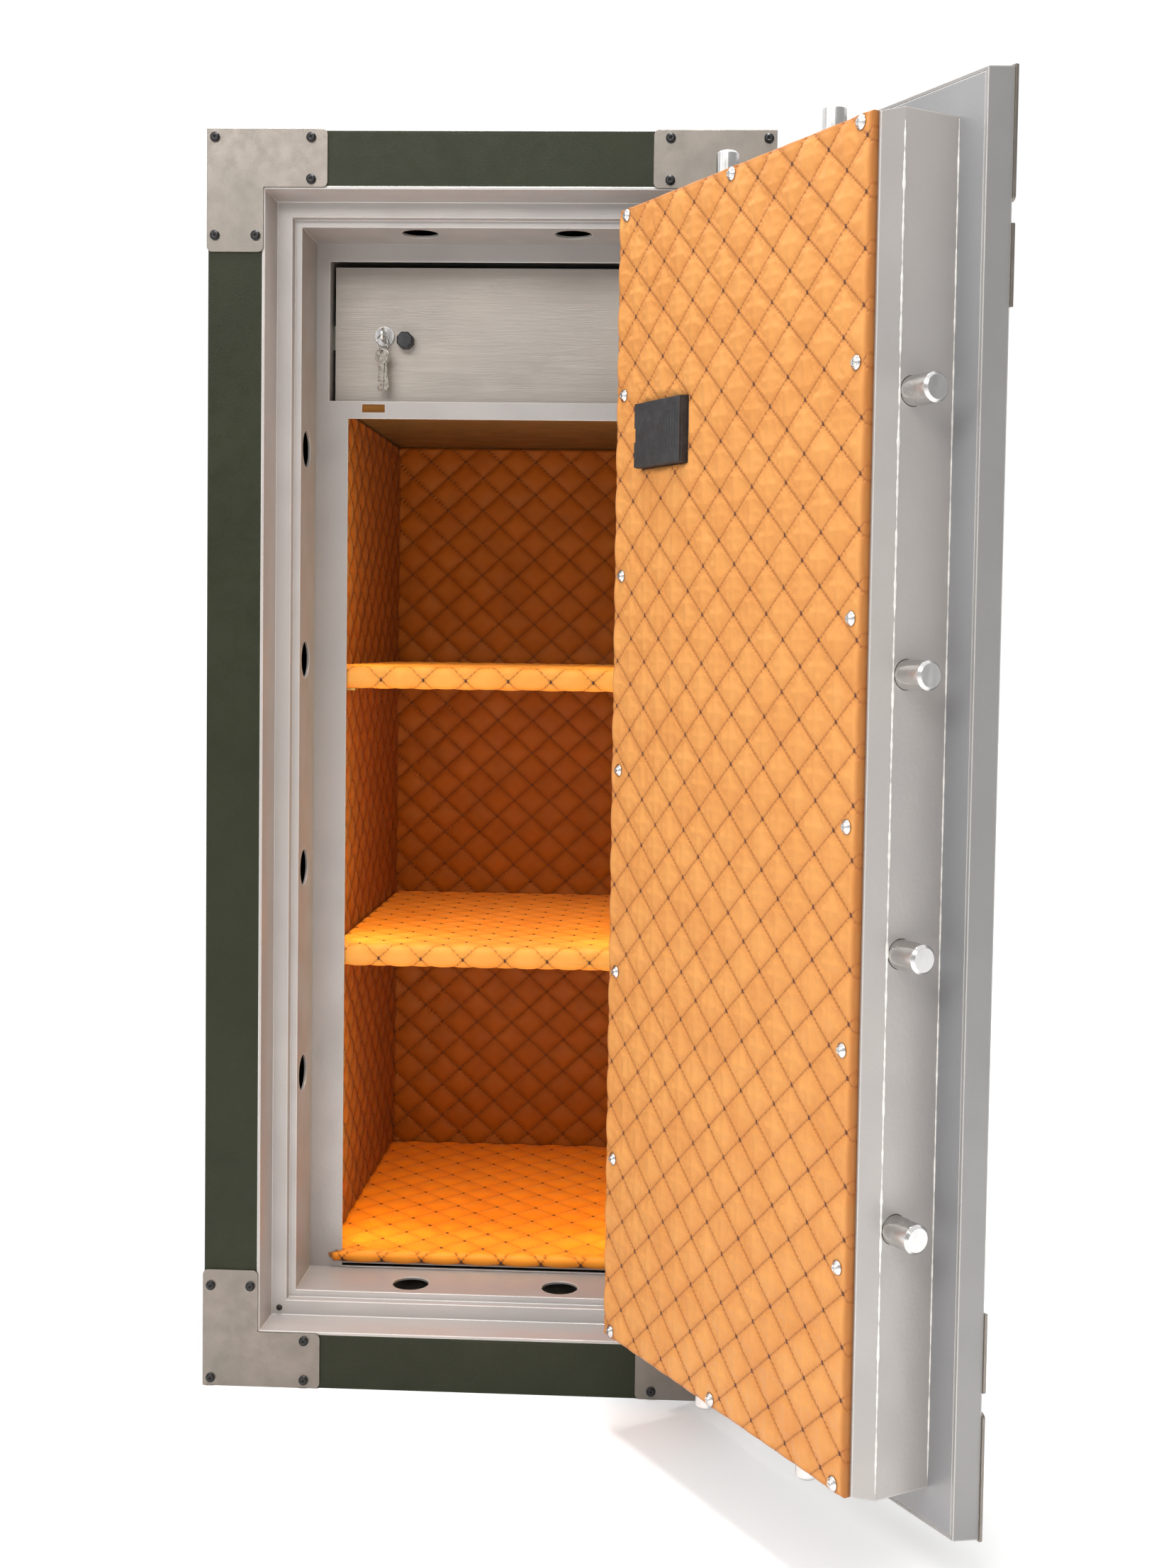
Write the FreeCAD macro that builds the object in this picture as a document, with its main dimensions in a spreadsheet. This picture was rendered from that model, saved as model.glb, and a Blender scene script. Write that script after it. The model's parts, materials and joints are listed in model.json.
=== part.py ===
import FreeCAD, Part
import math
import os
import re
import Sketcher

# Gun safe with its door standing open.  Every piece is drawn with the door shut, from the front left
# bottom corner of the body: X to the right, Y into the safe, Z up.  The finished pieces are then placed
# so that the origin is the middle of the body's underside, and the door's pieces are swung open.

doc = FreeCAD.newDocument("gun_safe")
sheet = doc.addObject("Spreadsheet::Sheet", "Sizes")

SIZES = {
    "body_wide": 622, "body_deep": 656, "body_high": 1400, "skin": 3, "lap": 1.4, "play": 0.3,
    # door opening: distance in from the body's outline at each depth
    "mouth_in": 64, "sill_in": 67, "rebate_in": 69.5, "step_in": 86.5, "seat_in": 87.5, "hole_in": 95.5,
    "hinge_in": 79, "sill_y": 14, "rebate_y": 36, "seat_y": 45, "face_y": 126,
    "bolt_y": 70, "jamb_hole_y": 76, "jamb_hole_r": 21,
    # interior
    "cell_left": 111, "cell_right": 511, "cell_floor": 101, "cell_top": 1290, "cell_back": 607,
    "pad": 8.5, "pad_back_y": 602, "floor_pad_top": 117.6, "lip_y": 119,
    "lower_left": 133.3, "lower_right": 488.7, "lower_bottom": 96.5, "lower_top": 1102.5,
    "box_floor": 1122.8, "box_ceiling": 1283.8, "shelf_front": 130, "shelf_thick": 28.5,
    "shelf_low": 455.5, "shelf_up": 786.5, "board": 50,
    # door
    "plate_left": 66.7, "plate_right": 555.3, "plate_low": 66.7, "plate_up": 1333.3,
    "plate_thick": 26, "plate_taper": 3.3, "pan_left": 105.5, "pan_right": 537, "pan_low": 103.6,
    "pan_up": 1296.4, "bevel_y": 84, "bevel_in": 5.6, "liner_y": 105.5, "liner_front_y": 116.5,
    "liner_left": 114, "liner_right": 535, "liner_low": 109.5, "liner_up": 1290.5,
    "hinge_x": 552.5, "hinge_y": -11.2, "door_open": 122.1, "knuckle": 9, "pin": 4,
    # boltwork
    "side_bolt_r": 13, "side_bolt_x": 72.9, "end_bolt_r": 11, "end_bolt_in": 73, "bolt_cone": 2.5,
    "side_bar_x": 135, "bar_wide": 15, "end_bar_in": 157,
    "spindle_x": 225, "spindle_z": 680, "spindle_r": 8, "pinion_r": 26, "tooth": 2.6,
    "rack_thick": 7, "rack_deep": 12, "side_rack_y": 58.5, "end_rack_y": 68.5,
    # inner lockbox door
    "box_door_left": 115, "box_door_right": 507, "box_door_low": 1124, "box_door_up": 1280,
    "box_door_y": 141, "box_door_thick": 12, "pivot_x": 503, "pivot_y": 147, "pivot_r": 2.5,
    "lock_x": 173, "lock_z": 1200, "knob_x": 198.3, "knob_z": 1194.7,
    # battery box on the door
    "cell_box_left": 397, "cell_box_right": 484, "cell_box_low": 1022, "cell_box_up": 1087,
}
for row, (alias, value) in enumerate(SIZES.items(), start=1):
    sheet.set(f"A{row}", alias)
    sheet.set(f"B{row}", str(value))
    sheet.setAlias(f"B{row}", alias)
doc.recompute()

SIDE_BOLT_Z = (341, 581, 821, 1061)
END_BOLT_X = (224, 398)
WORD = re.compile(r"[a-z][a-z_]*")


def cells(text):
    """An expression with each sheet alias in full."""
    return WORD.sub(lambda m: "Sizes." + m.group() if m.group() in SIZES else m.group(), str(text))


def size(text):
    """The number that an expression gives now."""
    return float(sheet.evalExpression(cells(text)))


def bind(item, **values):
    for name, text in values.items():
        item.setExpression(name, cells(text))
    return item


def at(item, x, y, z, rotation=None):
    """Places a primitive, its position bound to the sheet."""
    item.Placement = FreeCAD.Placement(FreeCAD.Vector(), rotation or FreeCAD.Rotation())
    for axis, text in zip("xyz", (x, y, z)):
        item.setExpression("Placement.Base." + axis, cells(text))
    return item


def name_for(label):
    return label.title().replace("_", "").replace(" ", "")


def block(label, x, y, z):
    """A box between two places on each axis."""
    item = doc.addObject("Part::Box", name_for(label))
    bind(item, Length=f"({x[1]}) - ({x[0]})", Width=f"({y[1]}) - ({y[0]})", Height=f"({z[1]}) - ({z[0]})")
    return at(item, x[0], y[0], z[0])


TURNS = {
    "X": FreeCAD.Rotation(FreeCAD.Vector(0, 1, 0), 90),
    "Y": FreeCAD.Rotation(FreeCAD.Vector(1, 0, 0), -90),
    "Z": FreeCAD.Rotation(),
}


FACING = TURNS["Y"] * FreeCAD.Rotation(FreeCAD.Vector(1, 0, 0), 180)


def stand(item, start, turn=FACING):
    """Puts a piece drawn about its own Z axis at start, facing out of the safe unless turned otherwise."""
    item.Placement = FreeCAD.Placement(FreeCAD.Vector(*[size(v) for v in start]), turn)
    return item


def rod(label, radius, start, length, axis="Z", end_radius=None):
    """A round bar, or a cone when it has an end radius, from start along an axis."""
    kind = "Part::Cylinder" if end_radius is None else "Part::Cone"
    item = doc.addObject(kind, name_for(label))
    if end_radius is None:
        bind(item, Radius=radius, Height=length)
    else:
        bind(item, Radius1=radius, Radius2=end_radius, Height=length)
    return at(item, *start, TURNS[axis])


def taper(label, y, near, far):
    """A block between two depths whose outline, (left, right, low, up), changes from near to far."""
    item = doc.addObject("Part::Wedge", name_for(label))
    bind(item, Ymin=y[0], Ymax=y[1], Xmin=near[0], Xmax=near[1], Zmin=near[2], Zmax=near[3],
         X2min=far[0], X2max=far[1], Z2min=far[2], Z2max=far[3])
    return item


def fuse(label, *items):
    item = doc.addObject("Part::MultiFuse", name_for(label))
    item.Shapes = list(items)
    return item


def cut(label, base, *tools):
    item = doc.addObject("Part::Cut", name_for(label))
    item.Base = base
    item.Tool = tools[0] if len(tools) == 1 else fuse(label + "_cutter", *tools)
    return item


def group(label, *items):
    """Separate solids that share one node."""
    item = doc.addObject("Part::Compound", name_for(label))
    item.Links = list(items)
    return item


def plane(body, role):
    return next(f for f in body.Origin.OriginFeatures if f.Role == role)


def outline(body, label, role, corners):
    """A closed sketch through corners, each one held by two dimensions bound to the sheet."""
    sketch = body.newObject("Sketcher::SketchObject", name_for(label))
    sketch.AttachmentSupport = (plane(body, role), "")
    sketch.MapMode = "FlatFace"
    places = [FreeCAD.Vector(size(u), size(v), 0) for u, v in corners]
    for here, there in zip(places, places[1:] + places[:1]):
        sketch.addGeometry(Part.LineSegment(here, there))
    for side in range(len(corners)):
        sketch.addConstraint(Sketcher.Constraint("Coincident", side, 2, (side + 1) % len(corners), 1))
    for side, corner in enumerate(corners):
        for kind, text, value in zip(("DistanceX", "DistanceY"), corner, places[side]):
            row = sketch.addConstraint(Sketcher.Constraint(kind, -1, 1, side, 1, value))
            sketch.setExpression(f"Constraints[{row}]", cells(text))
    return sketch


def padded(label, role, corners, length, reverse=False):
    body = doc.addObject("PartDesign::Body", name_for(label))
    pad = body.newObject("PartDesign::Pad", name_for(label) + "Pad")
    pad.Profile = outline(body, label + "_outline", role, corners)
    bind(pad, Length=length)
    pad.Reversed = reverse
    body.Tip = pad
    return body


def turned(label, corners):
    """A turned piece: its half section, (radius, height) corners, goes round the local Z axis."""
    body = doc.addObject("PartDesign::Body", name_for(label))
    sketch = outline(body, label + "_section", "XZ_Plane", corners)
    spin = body.newObject("PartDesign::Revolution", name_for(label) + "Turn")
    spin.Profile = sketch
    spin.ReferenceAxis = (sketch, ["V_Axis"])
    spin.Angle = 360
    body.Tip = spin
    return body


def rounded(body, radius, chosen):
    """Rounds the edges of a body's last feature whose middle point is chosen."""
    doc.recompute()
    tip = body.Tip
    names = [f"Edge{i}" for i, e in enumerate(tip.Shape.Edges, start=1) if chosen(e, e.CenterOfMass)]
    fillet = body.newObject("PartDesign::Fillet", body.Name + "Round")
    fillet.Base = (tip, names)
    bind(fillet, Radius=radius)
    body.Tip = fillet
    return body


# ---------------------------------------------------------------- finished pieces and where they go

MIDDLE = FreeCAD.Vector(size("body_wide / 2"), size("body_deep / 2"), 0)
ROOT = FreeCAD.Placement(-MIDDLE, FreeCAD.Rotation())
SWING = FreeCAD.Placement(
    FreeCAD.Vector(),
    FreeCAD.Rotation(FreeCAD.Vector(0, 0, 1), size("door_open")),
    FreeCAD.Vector(size("hinge_x"), size("hinge_y"), 0),
)
finished = []


def keep(label, item, on_door=False):
    """Names a finished piece and puts it in the safe's own frame."""
    bound = [path for path, _ in item.ExpressionEngine if "Placement" in path]
    if bound:
        item.recompute()
        for path in bound:
            item.setExpression(path.lstrip("."), None)
    item.Placement = (ROOT * SWING if on_door else ROOT) * item.Placement
    item.Label = label
    finished.append(item)
    return item


def on_door(label, item):
    return keep(label, item, on_door=True)


# ---------------------------------------------------------------- body

LEFT, RIGHT = "lap", "body_wide - lap"
FRONT_TO_BACK = ("skin", "body_deep - skin")
TOP = "body_high - lap"


def inset(by, hinge=None):
    """Outline corners at a distance in from the body's outline, with the hinge side's own distance."""
    return (by, f"body_wide - ({hinge or by})", by, f"body_high - ({by})")


def make_shell():
    upright = ("skin", f"{TOP} - skin")
    keep("side_plate_left", block("left", (LEFT, f"{LEFT} + skin"), FRONT_TO_BACK, upright))
    keep("side_plate_right", block("right", (f"{RIGHT} - skin", RIGHT), FRONT_TO_BACK, upright))
    keep("top_plate", block("top", (LEFT, RIGHT), FRONT_TO_BACK, (f"{TOP} - skin", TOP)))
    keep("back_plate", block("back", (LEFT, RIGHT), ("body_deep - skin", "body_deep"), (0, TOP)))
    floor = block("floor", (LEFT, RIGHT), FRONT_TO_BACK, (0, "skin"))
    anchors = [rod(f"anchor_{x}_{y}", 7, (f"body_wide / 2 + {x}", f"body_deep / 2 + {y}", -1), "skin + 2")
               for x in (-150, 150) for y in (-170, 170)]
    keep("floor_plate", cut("floor_plate_cut", floor, *anchors))
    mouth = taper("frame_mouth", (-1, "skin + 1"), inset("mouth_in - skin - 0.4"), inset("mouth_in - skin + 0.6"))
    face = cut("frame_face", block("frame", (LEFT, RIGHT), (0, "skin"), (0, TOP)), mouth)
    keep("front_frame", cut("front_frame_cut", face, *corner_screws("frame_hole", "3.1", 0, "skin + 1")))
    make_insulation()


def make_insulation():
    """Fire boards against the inside of each outer plate."""
    gap, thick = "(skin + play)", "board"
    sides = ("skin + lap + play", "body_wide - skin - lap - play")
    high = (gap, f"{TOP} - {gap}")
    depth = ("face_y + skin + 1", "cell_back + 2.5")
    lay = (f"{sides[0]} + {thick}", f"{sides[1]} - {thick}")
    keep("insulation_boards", group(
        "boards",
        block("board_left", (sides[0], lay[0]), depth, high),
        block("board_right", (lay[1], sides[1]), depth, high),
        block("board_top", lay, depth, (f"{high[1]} - {thick}", high[1])),
        block("board_bottom", lay, depth, (high[0], f"{high[0]} + {thick}")),
        block("board_back", sides, (depth[1], f"body_deep - {gap}"), high),
    ))


def make_jamb():
    """The stepped steel lining of the door opening, with the holes that the bolts enter."""
    steps = [(0, "sill_y", "mouth_in", "sill_in", None), ("sill_y", "rebate_y", "sill_in", "rebate_in", None),
             ("rebate_y", "seat_y", "step_in", "seat_in", "hinge_in"),
             ("seat_y", "face_y", "hole_in", "hole_in", "hinge_in")]
    hollow, outer = [], []
    for number, (start, end, near, far, hinge) in enumerate(steps):
        deeper = end if number == len(steps) - 1 else f"{end} + skin"
        wall = f"{hinge} - skin" if hinge else None
        hollow.append(taper(f"mouth_{number}", (start, end), inset(near, hinge), inset(far, hinge)))
        outer.append(taper(f"sleeve_{number}", (start, deeper), inset(f"{near} - skin", wall),
                           inset(f"{far} - skin", wall)))
    y = "jamb_hole_y"
    holes = [rod(f"side_hole_{z}", "jamb_hole_r", ("hole_in - 10", y, z), 20, "X") for z in SIDE_BOLT_Z]
    for x in END_BOLT_X:
        holes.append(rod(f"sill_hole_{x}", "jamb_hole_r", (x, y, "hole_in - 10"), 20))
        holes.append(rod(f"head_hole_{x}", "jamb_hole_r", (x, y, "body_high - hole_in - 10"), 20))
    holes.append(rod("rebate_screw_hole", 1.85, ("step_in - 8", "rebate_y - 1", "step_in - 9"), "skin + 3", "Y"))
    keep("door_jamb", cut("jamb_cut", fuse("jamb_outer", *outer), *hollow, *holes))


def turned_screw(label, head, rise, shank):
    """A button head on a short shank, the head's underside at height 0."""
    half = [(0, f"-{shank}"), (f"{head} * 0.5", f"-{shank}"), (f"{head} * 0.5", 0), (head, 0),
            (f"{head} * 0.93", f"{rise} * 0.55"), (f"{head} * 0.55", rise), (0, rise)]
    return turned(label, half)


def corner_places():
    """Screw places of the four corner plates, as (x, z) expressions."""
    near, far, inner = 9, 115, 54
    spots = ((near, near), (far, near), (far, inner), (near, far), (inner, far))
    for right in (False, True):
        for up in (False, True):
            for along, rise in spots:
                x = f"body_wide - {along}" if right else str(along)
                z = f"body_high - {rise}" if up else str(rise)
                yield x, z


def corner_screws(label, radius, start, length):
    return [rod(f"{label}_{number}", radius, (x, start, z), length, "Y")
            for number, (x, z) in enumerate(corner_places())]


def corner_plate(label, leg, wide, thick, x, z, right, up, bend=6):
    """A flat L with its outer corner at (x, z), legs running away from that corner."""
    east, north = ("-" if right else "+"), ("-" if up else "+")
    reach = [(0, 0), (leg, 0), (leg, wide), (wide, wide), (wide, leg), (0, leg)]
    corners = [(f"{x} {east} {u}", f"{z} {north} {v}") for u, v in reach]
    body = padded(label, "XZ_Plane", corners, thick)
    far = [abs(size(f"{x} {east} {leg}")), abs(size(f"{z} {north} {leg}"))]

    def is_end(edge, middle):
        upright = abs(edge.BoundBox.YLength - size(thick)) < 0.01
        return upright and (abs(middle.x - far[0]) < 0.1 or abs(middle.z - far[1]) < 0.1)
    return rounded(body, bend, is_end)


def make_body_trim():
    plates, holes = [], corner_screws("plate_hole", 3.1, -3, 4)
    for number, (right, up) in enumerate(((False, False), (False, True), (True, False), (True, True))):
        plate = corner_plate(f"corner_{number}", 133, 62.6, 2, "body_wide" if right else "0",
                             "body_high" if up else "0", right, up)
        plates.append(cut(f"corner_cut_{number}", plate, *holes[number * 5:number * 5 + 5]))
    keep("corner_plates", group("corner_plate_set", *plates))
    heads = [rebate_screw()]
    for number, (x, z) in enumerate(corner_places()):
        head = rod(f"head_{number}", 5.3, (x, -2, z), 1.6, "Y")
        head.Placement.Rotation = TURNS["Y"] * FreeCAD.Rotation(FreeCAD.Vector(1, 0, 0), 180)
        crown = rod(f"crown_{number}", 5.3, (x, -3.6, z), 1.4, "Y", end_radius=3.2)
        crown.Placement.Rotation = head.Placement.Rotation
        shank = rod(f"shank_{number}", 3, (x, -2, z), 8, "Y")
        socket = rod(f"socket_{number}", 1.9, (x, -6, z), 2.6, "Y")
        heads.append(cut(f"screw_{number}", fuse(f"screw_body_{number}", head, crown, shank), socket))
    keep("body_screws", group("body_screw_set", *heads))


def rebate_screw():
    """The small screw in the rebate's lower corner."""
    screw = turned_screw("rebate_screw", 3.5, 2, 4)
    start = [size(v) for v in ("step_in - 8", "rebate_y", "step_in - 9")]
    screw.Placement = FreeCAD.Placement(FreeCAD.Vector(*start), FACING)
    return screw


# ---------------------------------------------------------------- interior

LOWER = ("lower_left", "lower_right")
CELL = ("cell_left", "cell_right")


def make_cavity():
    sheet_metal = ("face_y", "face_y + skin")
    through = ("face_y - 1", "face_y + skin + 1")
    face = block("cavity_sheet", ("hole_in - skin", "body_wide - hinge_in + skin"), sheet_metal,
                 ("hole_in - skin", "body_high - hole_in + skin"))
    keep("cavity_face", cut(
        "cavity_cut", face,
        block("lower_mouth", LOWER, through, ("lower_bottom", "lower_top")),
        block("box_mouth", CELL, through, ("box_floor", "box_ceiling")),
        block("viewing_slot", (149.5, 176.3), through, (1109.8, 1119.3)),
    ))
    outer = block("cell_outer", ("cell_left - 2", "cell_right + 2"), ("face_y + skin", "cell_back + 2"),
                  ("cell_floor - 2", "cell_top + 2"))
    inner = block("cell_inner", CELL, ("face_y", "cell_back"), ("cell_floor", "cell_top"))
    keep("inner_shell", cut("cell_cut", outer, inner))
    floor = block("box_floor_sheet", ("cell_left + play", "cell_right - play"),
                  ("face_y + skin + play", "cell_back"), ("box_floor - 1.8", "box_floor - play"))
    keep("lockbox_floor", floor)


def make_pads():
    """Upholstered lining of the main compartment: two sides, back and floor."""
    run = ("face_y + skin + play", "pad_back_y - play")
    high = ("floor_pad_top + play", "box_floor - 2.1")
    keep("side_pads", group("both_side_pads",
                            block("left_pad", ("cell_left + play", "cell_left + pad"), run, high),
                            block("right_pad", ("cell_right - pad", "cell_right - play"), run, high)))
    keep("pad_back", block("back_pad", ("cell_left + play", "cell_right - play"),
                           ("pad_back_y", "cell_back - play"), ("cell_floor + play", "box_floor - 2.1")))
    level = ("cell_floor + play", "floor_pad_top")
    keep("pad_floor", fuse(
        "floor_pad",
        block("floor_main", ("cell_left + play", "cell_right - play"), run, level),
        block("floor_neck", ("lower_left + play", "lower_right - play"), ("face_y - 1", "face_y + 5"), level),
        block("floor_lip", (122, 500), ("lip_y", "face_y - play"), level),
    ))


def make_shelves():
    across = ("cell_left + pad + play", "cell_right - pad - play")
    boards, covers, clips = [], [], []
    for name in ("shelf_low", "shelf_up"):
        top = f"{name} + shelf_thick"
        board = ((f"{across[0]} + 2", f"{across[1]} - 2"), ("shelf_front + 4", "pad_back_y - 3"),
                 (f"{name} + 4", f"{top} - 4"))
        boards.append(block(name + "_board", *board))
        sleeve = block(name + "_sleeve", across, ("shelf_front", "pad_back_y - 1"), (name, top))
        rounding = doc.addObject("Part::Fillet", name_for(name + "_round"))
        rounding.Base = sleeve
        doc.recompute()
        rounding.Edges = [(n, 9.0, 9.0) for n, e in enumerate(sleeve.Shape.Edges, start=1)
                          if abs(e.CenterOfMass.y - size("shelf_front")) < 0.1 and e.BoundBox.XLength > 100]
        covers.append(cut(name + "_cover", rounding, block(name + "_hollow", *board)))
        for depth in (190, 520):
            for edge, side in ((across[0], 1), (across[1], -1)):
                reach = sorted((edge, f"{edge} + {12 * side}"), key=size)
                clips.append(block(f"{name}_clip_{depth}_{side + 1}", reach, (depth, depth + 24),
                                   (f"{name} - 3.3", f"{name} - play")))
    keep("shelf_boards", group("both_boards", *boards))
    keep("shelf_covers", group("both_covers", *covers))
    keep("shelf_brackets", group("all_clips", *clips))


def make_led_strips():
    levels = [("floor_pad_top + 2", "shelf_low - 5"), ("shelf_low + shelf_thick + 1", "shelf_up - 5"),
              ("shelf_up + shelf_thick + 1", "box_floor - 6")]
    behind = ("face_y + skin + play", "face_y + skin + 4")
    bars = []
    for number, level in enumerate(levels):
        bars.append(block(f"led_left_{number}", (120.3, 130), behind, level))
        bars.append(block(f"led_right_{number}", (492, 501.7), behind, level))
    keep("led_strips", group("all_leds", *bars))


# ---------------------------------------------------------------- inner lockbox

def make_lockbox():
    pins = [rod("low_pin", "pivot_r", ("pivot_x", "pivot_y", "box_floor - play"), 7.5),
            rod("high_pin", "pivot_r", ("pivot_x", "pivot_y", "box_door_up - 6"), 8)]
    hanger = block("pin_hanger", ("pivot_x - 6", "pivot_x + 6"), ("pivot_y - 6", "pivot_y + 8"),
                   ("box_door_up + 1", "cell_top"))
    strike = block("strike", ("cell_left", 128), (154, 159), ("lock_z - 14", "lock_z + 14"))
    keep("lockbox_fixings", group("fixings", pins[0], fuse("high_pivot", pins[1], hanger), strike))
    wide, high = ("box_door_left", "box_door_right"), ("box_door_low", "box_door_up")
    back = "box_door_y + box_door_thick"
    pan = block("box_door_pan", wide, ("box_door_y", back), high)
    inner = [f"{v} {s} 2" for v, s in zip(wide + high, "+-+-")]
    hollow = block("box_door_hollow", inner[:2], ("box_door_y + 2", f"{back} + 1"), inner[2:])
    pivots = rod("pivot_bore", "pivot_r + 0.05", ("pivot_x", "pivot_y", "box_door_low - 1"), 160)
    barrel = rod("lock_bore", 9.6, ("lock_x", "box_door_y - 1", "lock_z"), 5, "Y")
    keep("lockbox_door", cut("box_door_cut", pan, hollow, pivots, barrel))
    make_knob()
    make_lock()


def make_knob():
    """A faceted knob: an eight-sided pad with its front edges rounded."""
    radius, rise = 10.2, 14
    corners = [(f"{radius} * {math.cos(a):.4f}", f"{radius} * {math.sin(a):.4f}")
               for a in (math.pi * (n + 0.5) / 4 for n in range(8))]
    body = padded("knob", "XY_Plane", corners, rise)
    rounded(body, 2.4, lambda edge, middle: abs(middle.z - rise) < 0.01)
    keep("lockbox_knob", stand(body, ("knob_x", "box_door_y", "knob_z")))


EYE_Y = "box_door_y - 15"


def make_lock():
    x, z = "lock_x", "lock_z"
    rim = rod("lock_rim", 11.5, (x, "box_door_y - 2.5", z), 2.5, "Y")
    barrel = rod("lock_barrel", 9.5, (x, "box_door_y", z), 18, "Y")
    bore = rod("plug_bore", 6.05, (x, "box_door_y - 3", z), 30, "Y")
    keep("lock_cylinder", cut("cylinder_cut", fuse("cylinder", rim, barrel), bore))
    keep("lock_plug", rod("plug", 6, (x, "box_door_y - 2.8", z), 22.8, "Y"))
    cam = block("cam_bar", (f"{x} - 7", f"{x} + 7"), ("box_door_y + 20", "box_door_y + 22.5"),
                (f"{z} - 52", f"{z} + 8"))
    keep("lock_cam", cam)
    bow = rod("bow", 8.5, (f"{x} - 1", "box_door_y - 13", z), 2, "X")
    neck = block("neck", (f"{x} - 1", f"{x} + 1"), ("box_door_y - 6", "box_door_y - 2.8"),
                 (f"{z} - 3.2", f"{z} + 3.2"))
    eye = rod("bow_eye", 3.2, (f"{x} - 2", EYE_Y, z), 4, "X")
    keep("key_in_lock", cut("lock_key", fuse("lock_key_body", bow, neck), eye))
    make_keys()


def make_keys():
    """A wire ring through the key's eye, with two spare keys hanging face out."""
    ring_r, wire, slant = 9.0, 0.8, 55
    x, y, z = size("lock_x"), size(EYE_Y), size("lock_z") - 10
    ring = doc.addObject("Part::Torus", "RingWire")
    ring.Radius1 = ring_r
    ring.Radius2 = wire
    turn = FreeCAD.Rotation(FreeCAD.Vector(0, 0, 1), slant) * FreeCAD.Rotation(FreeCAD.Vector(1, 0, 0), 90)
    ring.Placement = FreeCAD.Placement(FreeCAD.Vector(x, y, z), turn)
    keep("key_ring", ring)
    spares = []
    for number, (shift, tilt) in enumerate(((-1.35, 2), (1.35, -7))):
        bow = rod(f"spare_bow_{number}", 8.5, (0, -1, -4.6), 2, "Y")
        blade = block(f"spare_blade_{number}", (-3.2, 3.2), (-1, 1), (-42, -11))
        tip = taper(f"spare_tip_{number}", (-1, 1), (-3.2, 1, -44.5, -42), (-3.2, 1, -44.5, -42))
        eye = rod(f"spare_eye_{number}", 2.6, (0, -2, 0), 4, "Y")
        key = cut(f"spare_{number}", fuse(f"spare_body_{number}", bow, blade, tip), eye)
        facing = FreeCAD.Rotation(FreeCAD.Vector(0, 0, 1), slant + 15 - 90)
        hang = facing * FreeCAD.Rotation(FreeCAD.Vector(0, 1, 0), tilt)
        away = facing.multVec(FreeCAD.Vector(0, shift, 0))
        key.Placement = FreeCAD.Placement(FreeCAD.Vector(x, y, z - ring_r - 1.4) + away, hang)
        spares.append(key)
    keep("spare_keys", group("both_spares", *spares))


# ---------------------------------------------------------------- door

PLATE = ("plate_left", "plate_right", "plate_low", "plate_up")
PAN = ("pan_left", "pan_right", "pan_low", "pan_up")
LINER = ("liner_left", "liner_right", "liner_low", "liner_up")
SIGNS = "+-+-"


def smaller(edges, by):
    return tuple(f"{edge} {sign} ({by})" for edge, sign in zip(edges, SIGNS))


def spindle_hole(label, radius=11):
    return rod(label, radius, ("spindle_x", -2, "spindle_z"), "plate_thick + 4", "Y")


def make_door_plate(screw_holes):
    back = smaller(PLATE, "plate_taper")
    behind = "plate_thick - skin"
    shell = taper("plate_outer", (0, "plate_thick"), PLATE, back)
    hollow = taper("plate_hollow", ("skin", "plate_thick + 1"), smaller(PLATE, "skin"), smaller(back, "skin"))
    on_door("door_front_pan", cut("front_pan", shell, hollow, spindle_hole("pan_hole"), *screw_holes))
    inner = smaller(back, "skin + play")
    panel = block("back_panel_sheet", inner[:2], (behind, "plate_thick"), inner[2:])
    on_door("door_back_plate", cut("back_panel", panel, spindle_hole("panel_hole")))
    fire = block("door_board", inner[:2], ("skin + play", f"{behind} - play"), inner[2:])
    on_door("door_insulation", cut("door_board_cut", fire, spindle_hole("board_hole")))
    bush = rod("bush_outer", 10.9, ("spindle_x", 0, "spindle_z"), "plate_thick", "Y")
    on_door("spindle_bush", cut("bush_cut", bush, spindle_hole("bush_bore", "spindle_r + 0.05")))


def bolt_holes(label, spare):
    holes = [rod(f"{label}_side_{z}", f"side_bolt_r + {spare}", ("pan_left - 5", "bolt_y", z), 25, "X")
             for z in SIDE_BOLT_Z]
    for x in END_BOLT_X:
        holes.append(rod(f"{label}_low_{x}", f"end_bolt_r + {spare}", (x, "bolt_y", "pan_low - 5"), 25))
        holes.append(rod(f"{label}_up_{x}", f"end_bolt_r + {spare}", (x, "bolt_y", "pan_up - 20"), 25))
    return holes


def make_door_box():
    """The folded box behind the door plate that carries the boltwork."""
    lid = smaller(PAN, "bevel_in")
    outer = fuse("box_outer", block("box_straight", PAN[:2], ("plate_thick", "bevel_y"), PAN[2:]),
                 taper("box_bevel", ("bevel_y", "liner_y"), PAN, lid))
    inside = smaller(PAN, 2)
    hollow = fuse("box_hollow",
                  block("hollow_straight", inside[:2], ("plate_thick - 1", "bevel_y"), inside[2:]),
                  taper("hollow_bevel", ("bevel_y", "liner_y - 2"), inside, smaller(inside, "bevel_in")))
    rim = smaller(PAN, 34)
    window = block("rim_window", rim[:2], ("liner_y - 3", "liner_y + 1"), rim[2:])
    on_door("door_box", cut("door_box_cut", outer, hollow, window, *bolt_holes("box_hole", 0.4)))
    deep = ("plate_thick", "bevel_y + 6")
    guide = [block("guide_side", ("pan_left + 12", "pan_left + 15"), deep, (310, 1092))]
    for label, z in (("guide_low", "pan_low + 12"), ("guide_up", "pan_up - 15")):
        guide.append(block(label, (200, 422), deep, (z, f"{z} + 3")))
    strips = [cut(f"{item.Name}_cut", item, *bolt_holes(item.Name + "_hole", 0.4)) for item in guide]
    on_door("bolt_guides", group("guides", *strips))


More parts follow.
